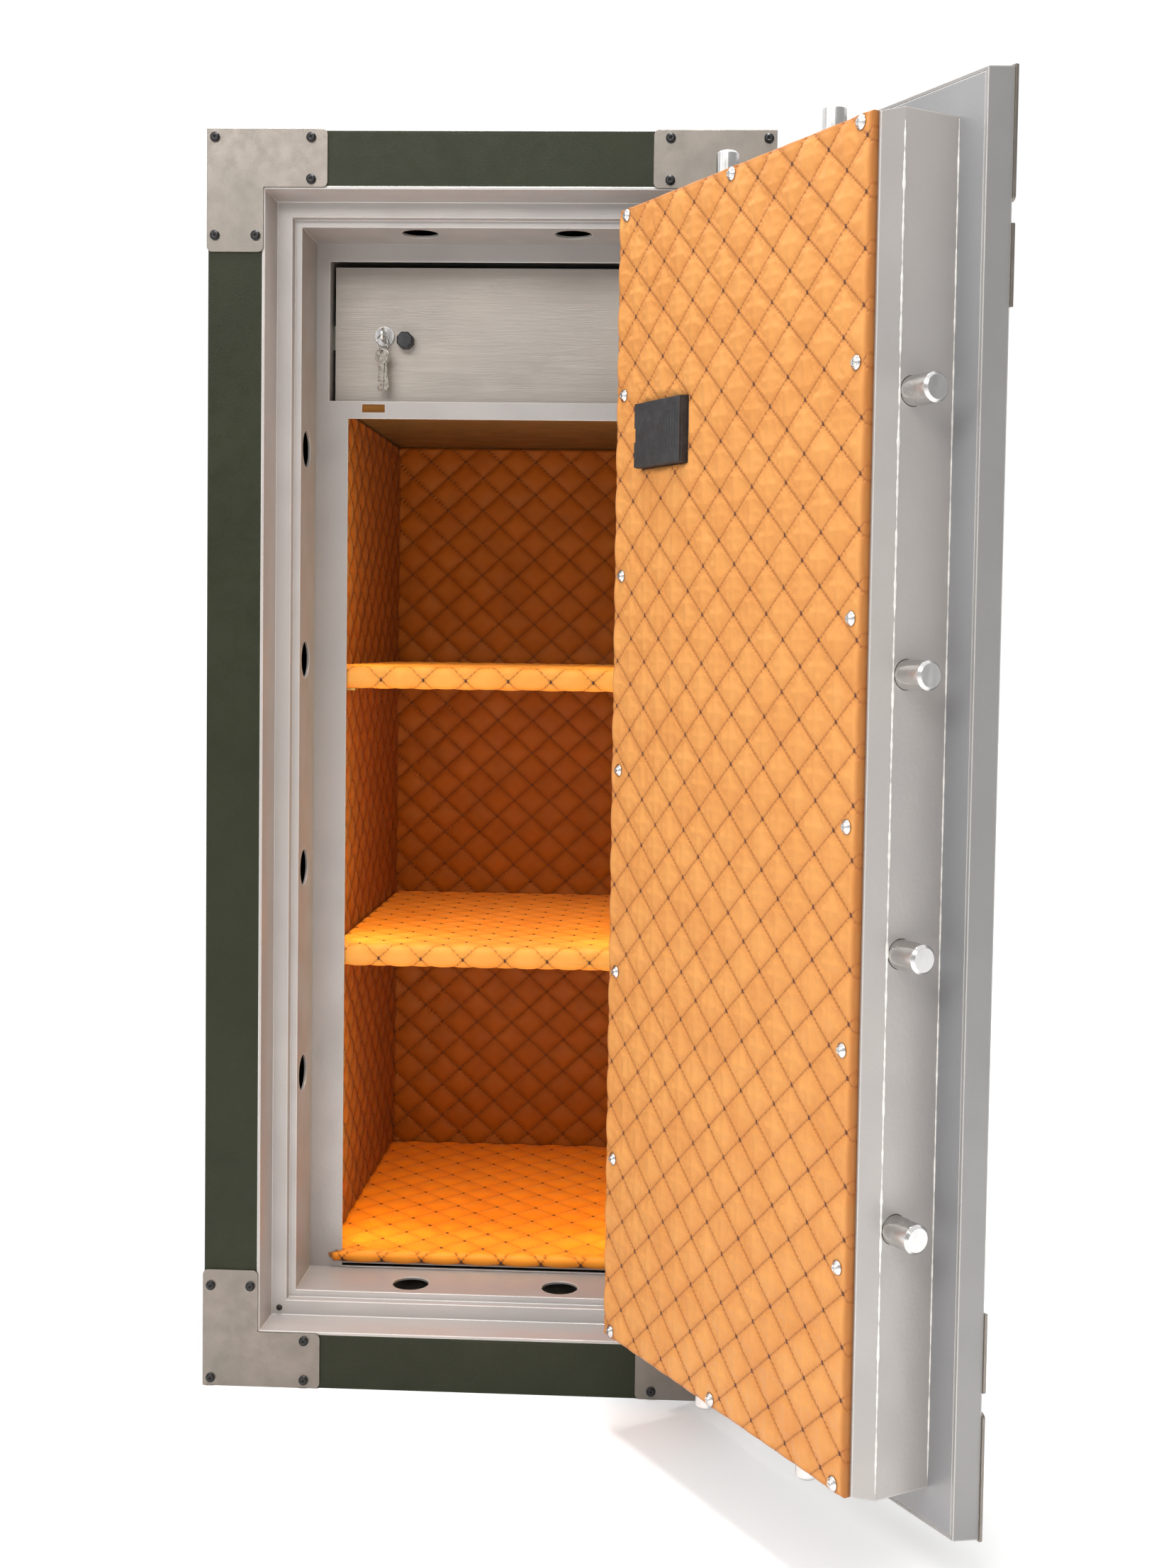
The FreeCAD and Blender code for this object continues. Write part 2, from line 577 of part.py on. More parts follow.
LINER_SCREWS = [(129, z) for z in (116, 307, 497, 690, 868, 1084, 1284)]
LINER_SCREWS += [(521, z) for z in (116, 301, 500, 712, 914, 1100, 1284)]
LINER_SCREWS += [(326, 116), (326, 1284)]


def make_liner():
    lid = "liner_y + 3"
    around = ("cell_box_left - 0.5", "cell_box_right + 0.5")
    tall = ("cell_box_low - 0.5", "cell_box_up + 0.5")

    def window(label):
        return block(label, around, ("liner_y - 1", "liner_front_y + 1"), tall)
    shanks = [rod(f"board_screw_{n}", 2.1, (x, "liner_y - 1", z), 6, "Y")
              for n, (x, z) in enumerate(LINER_SCREWS)]
    board = block("liner_sheet", LINER[:2], ("liner_y", lid), LINER[2:])
    on_door("liner_board", cut("liner_board_cut", board, window("board_window"), *shanks))
    dimples = [rod(f"dimple_{n}", 7.2, (x, lid, z), 20, "Y") for n, (x, z) in enumerate(LINER_SCREWS)]
    pad = block("liner_cushion", LINER[:2], (f"{lid} + 0.1", "liner_front_y"), LINER[2:])
    on_door("liner_pad", cut("liner_pad_cut", pad, window("pad_window"), *dimples))
    screws = []
    for number, (x, z) in enumerate(LINER_SCREWS):
        shank = rod(f"liner_shank_{number}", 2, (x, "liner_y + 0.5", z), 8, "Y")
        cup = rod(f"liner_cup_{number}", 6.8, (x, "liner_front_y - 3.4", z), 1.8, "Y", end_radius=4.6)
        head = rod(f"liner_head_{number}", 4.15, (x, "liner_front_y - 1.6", z), 1.4, "Y", end_radius=3)
        slots = [block(f"slot_{number}_{wide}", (f"{x} - {wide}", f"{x} + {wide}"),
                       ("liner_front_y - 0.9", "liner_front_y + 1"),
                       (f"{z} - {3 - wide}", f"{z} + {3 - wide}"))
                 for wide in (0.45, 2.55)]
        screws.append(cut(f"liner_screw_{number}", fuse(f"screw_solid_{number}", shank, cup, head), *slots))
    on_door("liner_screws", group("all_liner_screws", *screws))


def make_battery_box():
    x, z = ("cell_box_left", "cell_box_right"), ("cell_box_low", "cell_box_up")
    back, rim = "liner_front_y - 14", "liner_front_y + 2.5"
    shell = block("tray", x, (back, rim), z)
    hollow = block("tray_hollow", (f"{x[0]} + 2", f"{x[1]} - 2"), (f"{back} + 2", f"{rim} + 1"),
                   (f"{z[0]} + 2", f"{z[1]} - 2"))
    on_door("battery_box", cut("tray_cut", shell, hollow))
    packs = [rod(f"battery_{n}", 7, (f"{x[0]} + 14", f"{back} + 9.2", f"{z[0]} + {10 + n * 15}"), 50, "X")
             for n in range(4)]
    on_door("batteries", group("all_batteries", *packs))
    lid = block("lid", (f"{x[0]} + 0.5", f"{x[1]} - 0.5"), (f"{rim} + 0.1", f"{rim} + 2.6"),
                (f"{z[0]} + 0.5", f"{z[1]} - 0.5"))
    catch = block("catch", (f"{x[1]} - 5", f"{x[1]}"), (f"{rim} + 1.2", f"{rim} + 4"),
                  (f"{z[0]} + 26", f"{z[0]} + 40"))
    grip = (f"{z[0]} + 14", f"{z[1]} - 14")
    ribs = [block(f"rib_{n}", (f"{x[0]} + {8 + 5 * n}", f"{x[0]} + {10 + 5 * n}"),
                  (f"{rim} + 1.9", f"{rim} + 3.4"), grip) for n in range(4)]
    on_door("battery_lid", cut("lid_cut", lid, catch, *ribs))


def make_door_trim():
    edges = {"left": "plate_left - 1.5", "right": "plate_right + 1.5"}
    ends = {"bottom": "plate_low - 1.5", "top": "plate_up + 1.5"}
    plates, holes, screws = [], [], []
    spots = ((9, 9), (98, 9), (98, 48), (9, 98), (48, 98))
    for side, x in edges.items():
        for level, z in ends.items():
            right, up = side == "right", level == "top"
            label = f"door_plate_{level}_{side}"
            plates.append(corner_plate(label, 114, 56, 3, x, z, right, up, bend=5))
            for number, (along, rise) in enumerate(spots):
                sx = f"{x} {'-' if right else '+'} {along}"
                sz = f"{z} {'-' if up else '+'} {rise}"
                head = rod(f"{label}_head_{number}", 5.3, (sx, -5.2, sz), 2.2, "Y")
                screws.append(fuse(f"{label}_screw_{number}", head,
                                   rod(f"{label}_shank_{number}", 3, (sx, -3, sz), 6, "Y")))
                holes.append(rod(f"{label}_hole_{number}", 3.1, (sx, -4, sz), 8, "Y"))
    cut_plates = []
    for number, plate in enumerate(plates):
        mine = holes[number * 5:number * 5 + 5]
        cut_plates.append(cut(f"door_corner_{number}", plate, *mine))
    x = edges["left"]
    low, high = ends["bottom"], ends["top"]
    strips = [block("edge_strip_low", (x, f"{x} + 40"), (-3, 0), (f"{low} + 132", f"{low} + 202")),
              block("edge_strip_up", (x, f"{x} + 40"), (-3, 0), (f"{high} - 202", f"{high} - 132"))]
    on_door("door_trim_plates", group("door_plate_set", *cut_plates, *strips))
    on_door("door_plate_screws", group("door_screws", *screws))
    return holes


def make_hinges():
    """Two butt hinges in front of the face, each a pin through three knuckles."""
    frame_leaves, door_leaves, pins = [], [], []
    x, y, r = "hinge_x", "hinge_y", "knuckle"
    for name, low in (("low", 190), ("high", 1090)):
        pin_hole = rod(f"pin_hole_{name}", "pin + 0.05", (x, y, low - 5), 130)
        for part, (start, length) in enumerate(((low, 39.7), (low + 40, 39.6), (low + 80, 40))):
            barrel = rod(f"knuckle_{name}_{part}", r, (x, y, start), length)
            level = (start, start + length)
            if part == 1:
                leaf = fuse(f"door_leaf_{name}", barrel,
                            block(f"door_arm_{name}", (f"{x} - {r}", x), (y, -0.05), level),
                            block(f"door_flap_{name}", (f"{x} - 50", f"{x} - 4"), (-4, -0.05), level))
                door_leaves.append(cut(f"door_leaf_cut_{name}", leaf, pin_hole))
            else:
                leaf = fuse(f"frame_leaf_{name}_{part}", barrel,
                            block(f"frame_arm_{name}_{part}", (x, f"{x} + {r}"), (y, -0.05), level),
                            block(f"frame_flap_{name}_{part}", (f"{x} + 6", f"{x} + 52"), (-4, -0.05), level))
                frame_leaves.append(cut(f"frame_leaf_cut_{name}_{part}", leaf, pin_hole))
        pins.append(fuse(f"pin_{name}", rod(f"pin_shaft_{name}", "pin", (x, y, low), 120),
                         rod(f"pin_cap_{name}", r, (x, y, low + 120), 4)))
    keep("hinge_frame_leaves", group("frame_leaves", *frame_leaves))
    on_door("hinge_door_leaves", group("door_leaves", *door_leaves))
    keep("hinge_pins", group("pins", *pins))


# ---------------------------------------------------------------- lock and boltwork

TEETH = 20


def rack_teeth(label, count, start, side):
    """Rack teeth in a row along side's X: each a wedge that grows towards the pinion."""
    pitch = 2 * math.pi * size("pinion_r") / TEETH
    teeth = []
    for number in range(count):
        tooth = doc.addObject("Part::Wedge", name_for(f"{label}_tooth_{number}"))
        root, tip, deep = 2.6, 1.1, size("tooth")  # half widths, and the tooth's depth
        for key, value in zip(("Xmin", "Xmax", "X2min", "X2max"), (-root, root, -tip, tip)):
            setattr(tooth, key, value)
        tooth.Ymin, tooth.Ymax = -0.5, 1.75 * deep
        tooth.Zmin, tooth.Z2min = 0, 0
        bind(tooth, Zmax="rack_thick", Z2max="rack_thick")
        step = FreeCAD.Vector(start + number * pitch, 0, 0)
        tooth.Placement = side * FreeCAD.Placement(step, FreeCAD.Rotation())
        teeth.append(tooth)
    return teeth


def make_pinion():
    """A toothed wheel on the handle's spindle; a gap faces up and a gap faces each side."""
    wheel = doc.addObject("Part::Cylinder", "PinionBlank")
    bind(wheel, Radius="pinion_r - tooth * 1.1", Height="2 * rack_thick + 3")
    teeth = []
    for number in range(TEETH):
        tooth = doc.addObject("Part::Wedge", name_for(f"pinion_tooth_{number}"))
        for key, value in zip(("Xmin", "Xmax", "X2min", "X2max"), (-2.6, 2.6, -1.0, 1.0)):
            setattr(tooth, key, value)
        bind(tooth, Ymin="pinion_r - tooth * 1.4", Ymax="pinion_r + tooth * 0.7",
             Zmax="2 * rack_thick + 3", Z2max="2 * rack_thick + 3")
        tooth.Placement.Rotation = FreeCAD.Rotation(FreeCAD.Vector(0, 0, 1), (number + 0.5) * 360 / TEETH)
        teeth.append(tooth)
    gear = fuse("pinion_gear", wheel, *teeth)
    spindle = doc.addObject("Part::Cylinder", "Spindle")
    bind(spindle, Radius="spindle_r", Height="side_rack_y + 2 * rack_thick + 3 + 40")
    at(spindle, 0, 0, "-side_rack_y - 40")
    place = ("spindle_x", "side_rack_y", "spindle_z")
    on_door("drive_pinion", stand(fuse("pinion_and_spindle", gear, spindle), place, TURNS["Y"]))


def rack_side(x, y, z, run, face):
    """A placement whose X is the rack's run, Y the teeth's direction and Z the plate's thickness."""
    across = FreeCAD.Vector(*run).cross(FreeCAD.Vector(*face))
    matrix = FreeCAD.Matrix(run[0], face[0], across.x, x, run[1], face[1], across.y, y,
                            run[2], face[2], across.z, z, 0, 0, 0, 1)
    return FreeCAD.Placement(matrix)


def bolt(label, radius, tip, long, axis, inward):
    """A round bolt with its outer end at tip and a small cone there; inward is the way back into the door."""
    spin = TURNS[axis]
    if inward < 0:
        spin = spin * FreeCAD.Rotation(FreeCAD.Vector(1, 0, 0), 180)
    half = [(0, 0), (f"{radius} - bolt_cone", 0), (radius, "bolt_cone"), (radius, long), (0, long)]
    body = turned(label, half)
    body.Placement = FreeCAD.Placement(FreeCAD.Vector(*[size(v) for v in tip]), spin)
    return body


def make_boltwork():
    bar_y = ("bolt_y - 10", "bolt_y + 10")
    root = size("pinion_r") + 1.25 * size("tooth")
    px, pz = size("spindle_x"), size("spindle_z")
    pitch = 2 * math.pi * size("pinion_r") / TEETH
    # side bolts, their bar and the rack above the pinion
    reach = "side_bar_x - side_bolt_x"
    on_door("side_bolts", group("side_bolt_set", *[
        bolt(f"side_bolt_{z}", "side_bolt_r", ("side_bolt_x", "bolt_y", z), reach, "X", 1)
        for z in SIDE_BOLT_Z]))
    thick = ("side_rack_y", "side_rack_y + rack_thick")
    base = f"spindle_z + {root}"
    arm = block("side_arm", ("side_bar_x + bar_wide - 1", 300), thick, (base, f"{base} + rack_deep + 10"))
    notch = block("lock_notch", (279, 291), ("side_rack_y - 1", "side_rack_y + rack_thick + 1"),
                  (f"{base} + 9", f"{base} + 30"))
    above = rack_side(0, size("side_rack_y"), pz + root, (1, 0, 0), (0, 0, -1))
    teeth = rack_teeth("side", 11, px - 8 * pitch, above)
    bar = block("side_bar", ("side_bar_x", "side_bar_x + bar_wide"), bar_y, (320, 1082))
    on_door("side_bolt_bar", cut("side_bar_cut", fuse("side_bar_rack", bar, arm, *teeth), notch))
    # top and bottom bolts, each pair on a cross bar with a rack beside the pinion
    thick = ("end_rack_y", "end_rack_y + rack_thick")
    low = ("end_bar_in", "end_bar_in + bar_wide")
    high = ("body_high - end_bar_in - bar_wide", "body_high - end_bar_in")
    top_x = (f"spindle_x + {root}", f"spindle_x + {root} + rack_deep")
    bottom_x = (f"spindle_x - {root} - rack_deep", f"spindle_x - {root}")
    right = rack_side(px + root, size("end_rack_y + rack_thick"), 0, (0, 0, 1), (-1, 0, 0))
    left = rack_side(px - root, size("end_rack_y"), 0, (0, 0, 1), (1, 0, 0))
    top_teeth = rack_teeth("top", 11, pz - 2 * pitch, right)
    bottom_teeth = rack_teeth("bottom", 11, pz - 8 * pitch, left)
    top_rod = block("top_rod", top_x, thick, ("spindle_z - 30", f"{high[0]} + 1"))
    bottom_rod = block("bottom_rod", bottom_x, thick, (f"{low[1]} - 1", "spindle_z + 30"))
    top_bar = block("top_bar", (200, 422), bar_y, high)
    on_door("top_bolt_bar", fuse("top_bar_rack", top_bar, top_rod, *top_teeth))
    on_door("bottom_bolt_bar", fuse("bottom_bar_rack", block("bottom_bar", (180, 422), bar_y, low),
                                    bottom_rod, *bottom_teeth))
    long = "end_bar_in - end_bolt_in"
    on_door("top_bolts", group("top_bolt_set", *[
        bolt(f"top_bolt_{x}", "end_bolt_r", (x, "bolt_y", "body_high - end_bolt_in"), long, "Z", -1)
        for x in END_BOLT_X]))
    on_door("bottom_bolts", group("bottom_bolt_set", *[
        bolt(f"bottom_bolt_{x}", "end_bolt_r", (x, "bolt_y", "end_bolt_in"), long, "Z", 1)
        for x in END_BOLT_X]))
    bolt_low = f"{base} + rack_deep + 11"
    layer = ("side_rack_y", "side_rack_y + rack_thick")
    on_door("lock_bolt", block("lock_tongue", (280, 290), layer, (bolt_low, f"{bolt_low} + 30")))
    case = block("case", (268, 330), ("plate_thick", "side_rack_y + rack_thick + 3"),
                 (f"{bolt_low} + 3", f"{bolt_low} + 88"))
    channel = block("case_channel", (279.6, 290.4), ("side_rack_y - 0.4", "side_rack_y + rack_thick + 0.4"),
                    (f"{bolt_low} - 1", f"{bolt_low} + 60"))
    on_door("lock_case", cut("case_cut", case, channel))


def make_handle():
    """A three-spoke handle: turned hub, and spokes with round ends."""
    hub = turned("hub", [(0, 0), (30, 0), (30, 4), (20, 10), (19, 44), (14, 50), (0, 50)])
    place = ("spindle_x", -1, "spindle_z")
    on_door("handle_hub", stand(cut("hub_cut", hub, rod("hub_bore", "spindle_r", (0, 0, -1), 41)), place))
    spokes = []
    for number in range(3):
        lean = FreeCAD.Rotation(FreeCAD.Vector(0, 0, 1), 90 + 120 * number)
        spoke = rod(f"spoke_{number}", 6, (0, 0, 0), 72, "X", end_radius=8)
        ball = doc.addObject("Part::Sphere", f"SpokeEnd{number}")
        ball.Radius = 11
        at(ball, 72, 0, 0)
        arm = fuse(f"arm_{number}", spoke, ball)
        root = cut(f"arm_cut_{number}", arm, rod(f"arm_root_{number}", 19.4, (0, 0, -20), 40))
        root.Placement = FreeCAD.Placement(FreeCAD.Vector(0, 0, 30), lean)
        spokes.append(root)
    on_door("handle_spokes", stand(group("spoke_set", *spokes), place))


def make_keypad():
    """The round touch keypad of the electronic lock: a dished disc with a flat glass panel."""
    place = ("spindle_x", -0.05, "spindle_z + 190")
    dish = turned("keypad_dish", [(0, 0), (46, 0), (46, 6), (41, 16), (36, 16), (36, 13), (0, 13)])
    glass = turned("keypad_glass", [(0, 13.05), (35.8, 13.05), (35.8, 15), (0, 15)])
    on_door("keypad_housing", stand(dish, place))
    on_door("keypad_panel", stand(glass, place))


make_shell()
make_jamb()
make_body_trim()
make_cavity()
make_pads()
make_shelves()
make_led_strips()
make_lockbox()
make_hinges()
make_door_plate(make_door_trim())
make_door_box()
make_liner()
make_battery_box()
make_pinion()
make_boltwork()
make_handle()
make_keypad()
doc.recompute()

failed = [f"{item.Name} ({item.Label})" for item in doc.Objects
          if any(word in item.State for word in ("Invalid", "Error"))]
for item in finished:
    if item.Shape.isNull() or not item.Shape.isValid():
        failed.append(item.Label)
if failed:
    raise SystemExit("failed: " + ", ".join(failed))

os.makedirs("parts", exist_ok=True)
for item in finished:
    item.Shape.exportStep(f"parts/{item.Label}.step")
    box = item.Shape.BoundBox
    print(f"{item.Label:24s} solids {len(item.Shape.Solids):3d}  x {box.XMin:8.1f} {box.XMax:8.1f}"
          f"  y {box.YMin:8.1f} {box.YMax:8.1f}  z {box.ZMin:8.1f} {box.ZMax:8.1f}")
print(len(finished), "pieces")
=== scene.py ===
import json
import math

import bmesh
import bpy
import numpy as np
from mathutils import Matrix, Vector


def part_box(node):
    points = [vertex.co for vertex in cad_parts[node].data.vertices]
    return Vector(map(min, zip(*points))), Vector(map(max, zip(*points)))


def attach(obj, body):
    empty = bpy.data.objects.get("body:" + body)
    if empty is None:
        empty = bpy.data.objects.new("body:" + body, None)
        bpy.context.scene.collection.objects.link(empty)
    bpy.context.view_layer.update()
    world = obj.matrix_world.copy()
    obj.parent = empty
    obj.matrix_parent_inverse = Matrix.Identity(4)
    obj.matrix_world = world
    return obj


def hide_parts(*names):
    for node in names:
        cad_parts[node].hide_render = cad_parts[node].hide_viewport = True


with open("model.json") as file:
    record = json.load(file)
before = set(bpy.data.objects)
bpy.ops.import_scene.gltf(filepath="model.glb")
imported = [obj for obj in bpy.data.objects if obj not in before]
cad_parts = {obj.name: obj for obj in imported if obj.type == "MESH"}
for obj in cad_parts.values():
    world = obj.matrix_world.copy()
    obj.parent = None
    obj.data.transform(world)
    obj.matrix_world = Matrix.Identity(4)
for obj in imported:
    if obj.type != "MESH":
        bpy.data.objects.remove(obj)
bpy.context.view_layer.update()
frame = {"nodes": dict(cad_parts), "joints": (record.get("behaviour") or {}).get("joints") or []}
NODES = frame["nodes"]
SCENE = bpy.context.scene

# The door's own directions at rest, from its hinge: ALONG runs from the free edge to the hinge,
# INWARD from its outer face towards the lining.
JOINTS = {joint["name"]: joint for joint in frame["joints"]}
ALONG = Vector(JOINTS["side_bolt_slide"]["axis"])
INWARD = Vector(JOINTS["handle_turn"]["axis"])
HINGE = Vector(JOINTS["door_hinge"]["pos_m"])
UP = Vector((0, 0, 1))
MM = 0.001


# ---------------------------------------------------------------- camera, light and floor

def set_camera():
    """The photograph's standpoint, seen from a little left of the door's opening."""
    yaw, pitch, roll = -0.04329785, -0.04864890, -0.01460049
    forward = Vector((math.sin(yaw) * math.cos(pitch), math.cos(yaw) * math.cos(pitch), math.sin(pitch)))
    right = Vector((math.cos(yaw), -math.sin(yaw), 0))
    down = forward.cross(right)
    x_axis = right * math.cos(roll) + down * math.sin(roll)
    y_axis = right * math.sin(roll) - down * math.cos(roll)
    data = bpy.data.cameras.new("camera")
    data.sensor_width = 36
    data.sensor_fit = "AUTO"
    data.lens = 41.304596745
    data.shift_x, data.shift_y = -0.013788427, -0.032997288
    data.clip_end = 50
    camera = bpy.data.objects.new("camera", data)
    turn = Matrix((x_axis, y_axis, -forward)).transposed().to_4x4()
    camera.matrix_world = Matrix.Translation((0.22466, -2.30496, 0.84293)) @ turn
    SCENE.collection.objects.link(camera)
    SCENE.camera = camera


def area_light(name, place, target, size, power, colour=(1, 1, 1)):
    data = bpy.data.lights.new(name, "AREA")
    data.shape = "RECTANGLE"
    data.size, data.size_y = size
    data.energy = power
    data.color = colour
    lamp = bpy.data.objects.new(name, data)
    lamp.location = place
    lamp.rotation_euler = (Vector(target) - Vector(place)).to_track_quat("-Z", "Y").to_euler()
    SCENE.collection.objects.link(lamp)
    return lamp


def set_light():
    """A white studio, brighter behind, above and to the left of the safe, and three soft boxes."""
    world = bpy.data.worlds.new("studio")
    world.use_nodes = True
    nodes, links = world.node_tree.nodes, world.node_tree.links
    split = nodes.new("ShaderNodeSeparateXYZ")
    links.new(nodes.new("ShaderNodeTexCoord").outputs["Generated"], split.inputs[0])
    strength = 0.5
    for axis, low, high, share in ((1, -0.1, 0.35, 0.55), (2, 0.25, 0.95, 0.7), (0, 0.0, -0.9, 0.2)):
        part = nodes.new("ShaderNodeMapRange")
        part.interpolation_type = "SMOOTHSTEP"
        links.new(split.outputs[axis], part.inputs["Value"])
        for socket, bound in zip(("From Min", "From Max", "To Min", "To Max"), (low, high, 0, share)):
            part.inputs[socket].default_value = bound
        total = nodes.new("ShaderNodeMath")
        links.new(part.outputs[0], total.inputs[0])
        if isinstance(strength, float):
            total.inputs[1].default_value = strength
        else:
            links.new(strength, total.inputs[1])
        strength = total.outputs[0]
    links.new(strength, nodes["Background"].inputs["Strength"])
    nodes["Background"].inputs["Color"].default_value = (1, 1, 1, 1)
    SCENE.world = world
    area_light("high_softbox", (-0.9, -2.7, 2.6), (0.1, -0.2, 1.0), (2.6, 0.9), 42)
    area_light("side_softbox", (-2.3, -1.4, 1.7), (0.4, -0.5, 0.8), (0.8, 1.4), 8)
    area_light("top_softbox", (0.12, -0.72, 3.5), (0.37, -0.55, 0.7), (0.7, 0.7), 80)
    SCENE.view_settings.view_transform = "Standard"


LED_POWER, LED_COLOUR = 0.6, (1.0, 0.66, 0.13)


def light_inside():
    """The warm strips behind the opening's flange, which light each compartment from its front edge."""
    strips = [box_of(strip) for strip in islands(NODES["led_strips"])]
    for index, (low, high) in enumerate(strips):
        middle = (low + high) / 2
        side = 1 if middle.x < 0 else -1
        place = Vector((middle.x + side * 0.007, high.y + 0.002, middle.z))
        aim = place + Vector((side * 0.55, 1, 0))
        size = (0.006, (high.z - low.z) * 0.8)
        lamp = area_light(f"led_{index}", place, aim, size, LED_POWER, LED_COLOUR)
        lamp.data.spread = math.radians(170)


def make_floor():
    mesh = bpy.data.meshes.new("floor")
    far = 14
    mesh.from_pydata([(-far, -far, 0), (far, -far, 0), (far, far, 0), (-far, far, 0)], [], [(0, 1, 2, 3)])
    floor = bpy.data.objects.new("floor", mesh)
    SCENE.collection.objects.link(floor)
    paper = Finish("studio_paper", (251, 251, 251), roughness=0.9)
    floor.data.materials.append(paper.material)


# ---------------------------------------------------------------- procedural finishes

def linear(colour):
    """The linear colour of an sRGB one given as 0 to 255."""
    return [((c / 255 + 0.055) / 1.055) ** 2.4 if c > 10 else c / 255 / 12.92 for c in colour] + [1.0]


class Finish:
    """One Principled material, with the grain, wear and relief of its real surface, and in places painted
    highlights and shade, added step by step.
    """

    def __init__(self, name, colour, **sockets):
        self.material = bpy.data.materials.new(name)
        self.material.use_nodes = True
        self.nodes = self.material.node_tree.nodes
        self.links = self.material.node_tree.links
        self.shader = self.nodes["Principled BSDF"]
        self.place = self.add("ShaderNodeTexCoord").outputs["Object"]
        self.colour = linear(colour)
        self.normal = None
        self.shader.inputs["Base Color"].default_value = self.colour
        for socket, value in sockets.items():
            self.shader.inputs[socket.replace("_", " ").title().replace("Ior", "IOR")].default_value = value

    def add(self, kind, **settings):
        node = self.nodes.new(kind)
        for name, value in settings.items():
            setattr(node, name, value)
        return node

    def feed(self, socket, value):
        if isinstance(value, bpy.types.NodeSocket):
            self.links.new(value, socket)
        else:
            socket.default_value = value

    def sum(self, operation, *terms):
        node = self.add("ShaderNodeMath", operation=operation)
        for socket, term in zip(node.inputs, terms):
            self.feed(socket, term)
        return node.outputs[0]

    def spot(self, stretch):
        """The place on the surface, stretched by a factor on each axis."""
        if stretch is None:
            return self.place
        node = self.add("ShaderNodeMapping")
        self.links.new(self.place, node.inputs["Vector"])
        node.inputs["Scale"].default_value = stretch
        return node.outputs[0]

    def noise(self, scale, detail=3.0, rough=0.55, stretch=None):
        node = self.add("ShaderNodeTexNoise")
        self.links.new(self.spot(stretch), node.inputs["Vector"])
        node.inputs["Scale"].default_value = scale
        node.inputs["Detail"].default_value = detail
        node.inputs["Roughness"].default_value = rough
        return node.outputs["Fac"]

    def cells(self, scale, feature="SMOOTH_F1", stretch=None):
        node = self.add("ShaderNodeTexVoronoi", feature=feature)
        self.links.new(self.spot(stretch), node.inputs["Vector"])
        node.inputs["Scale"].default_value = scale
        return node.outputs["Distance"]

    def fit(self, value, low, high, to_low=0.0, to_high=1.0):
        node = self.add("ShaderNodeMapRange", interpolation_type="SMOOTHSTEP")
        self.feed(node.inputs["Value"], value)
        for socket, bound in zip(("From Min", "From Max", "To Min", "To Max"), (low, high, to_low, to_high)):
            node.inputs[socket].default_value = bound
        return node.outputs[0]

    def tint(self, factor, colour):
        """Lays another colour over the surface where the factor is 1."""
        node = self.add("ShaderNodeMix", data_type="RGBA")
        self.feed(node.inputs[0], factor)
        self.feed(node.inputs[6], self.colour)
        self.feed(node.inputs[7], linear(colour))
        self.colour = node.outputs[2]
        self.links.new(self.colour, self.shader.inputs["Base Color"])
        return self

    def rough(self, value, low, high, to_low, to_high):
        self.links.new(self.fit(value, low, high, to_low, to_high), self.shader.inputs["Roughness"])
        return self

    def edge(self, radius):
        """Rounds the look of sharp edges, and returns where they are, 0 on the flats."""
        bevel = self.add("ShaderNodeBevel", samples=4)
        bevel.inputs["Radius"].default_value = radius
        self.normal = bevel.outputs[0]
        self.links.new(self.normal, self.shader.inputs["Normal"])
        dot = self.add("ShaderNodeVectorMath", operation="DOT_PRODUCT")
        self.links.new(self.normal, dot.inputs[0])
        self.links.new(self.add("ShaderNodeNewGeometry").outputs["Normal"], dot.inputs[1])
        return self.fit(dot.outputs["Value"], 0.995, 0.93, 0.0, 1.0)

    def relief(self, height, depth, strength=1.0):
        """Adds a relief of the given depth in metres."""
        bump = self.add("ShaderNodeBump")
        self.feed(bump.inputs["Height"], height)
        bump.inputs["Distance"].default_value = depth
        bump.inputs["Strength"].default_value = strength
        if self.normal is not None:
            self.links.new(self.normal, bump.inputs["Normal"])
        self.normal = bump.outputs[0]
        self.links.new(self.normal, self.shader.inputs["Normal"])
        return self


# ---------------------------------------------------------------- finishes of the parts

def painted_steel():
    finish = Finish("olive_paint", (33, 36, 20), roughness=0.38, specular_ior_level=0.22)
    grain = finish.noise(900, 2)
    finish.tint(finish.fit(finish.noise(9, 4), 0.35, 0.75, 0, 0.35), (45, 48, 30))
    finish.tint(finish.fit(finish.noise(1500, 1), 0.62, 0.75, 0, 0.5), (84, 86, 66))
    worn = finish.edge(0.0012)
    finish.tint(finish.sum("MULTIPLY", worn, 0.35), (120, 120, 104))
    finish.rough(finish.noise(60, 3), 0.3, 0.7, 0.34, 0.5)
    return finish.relief(grain, 0.00035, 0.6)


def hammered_paint(name="hammered_silver", colour=(172, 166, 162), shade=(158, 155, 153)):
    finish = Finish(name, colour, metallic=0.25, roughness=0.36)
    finish.tint(finish.fit(finish.noise(5, 2), 0.35, 0.7, 0, 0.45), shade)
    # Painted highlight: the sharp edges are tinted near white.
    bright = finish.edge(0.0016)
    finish.tint(finish.sum("MULTIPLY", bright, 0.75), (240, 236, 230))
    finish.rough(finish.noise(20, 1), 0.3, 0.72, 0.3, 0.46)
    finish.relief(finish.noise(7, 1), 0.003, 0.5)
    return finish.relief(finish.noise(240, 1, 0.5), 0.0003, 0.5)


def door_paint():
    """The door's pan: silver on its edges, darker than the hammered silver elsewhere as painted shade, and the
    body's olive on its outer face.
    """
    finish = hammered_paint("door_pan_paint", (140, 138, 136), (126, 126, 126))
    facing = finish.add("ShaderNodeVectorMath", operation="DOT_PRODUCT")
    finish.links.new(finish.add("ShaderNodeTexCoord").outputs["Normal"], facing.inputs[0])
    facing.inputs[1].default_value = tuple(-INWARD)
    return finish.tint(finish.fit(facing.outputs["Value"], 0.8, 0.9), (46, 49, 32))


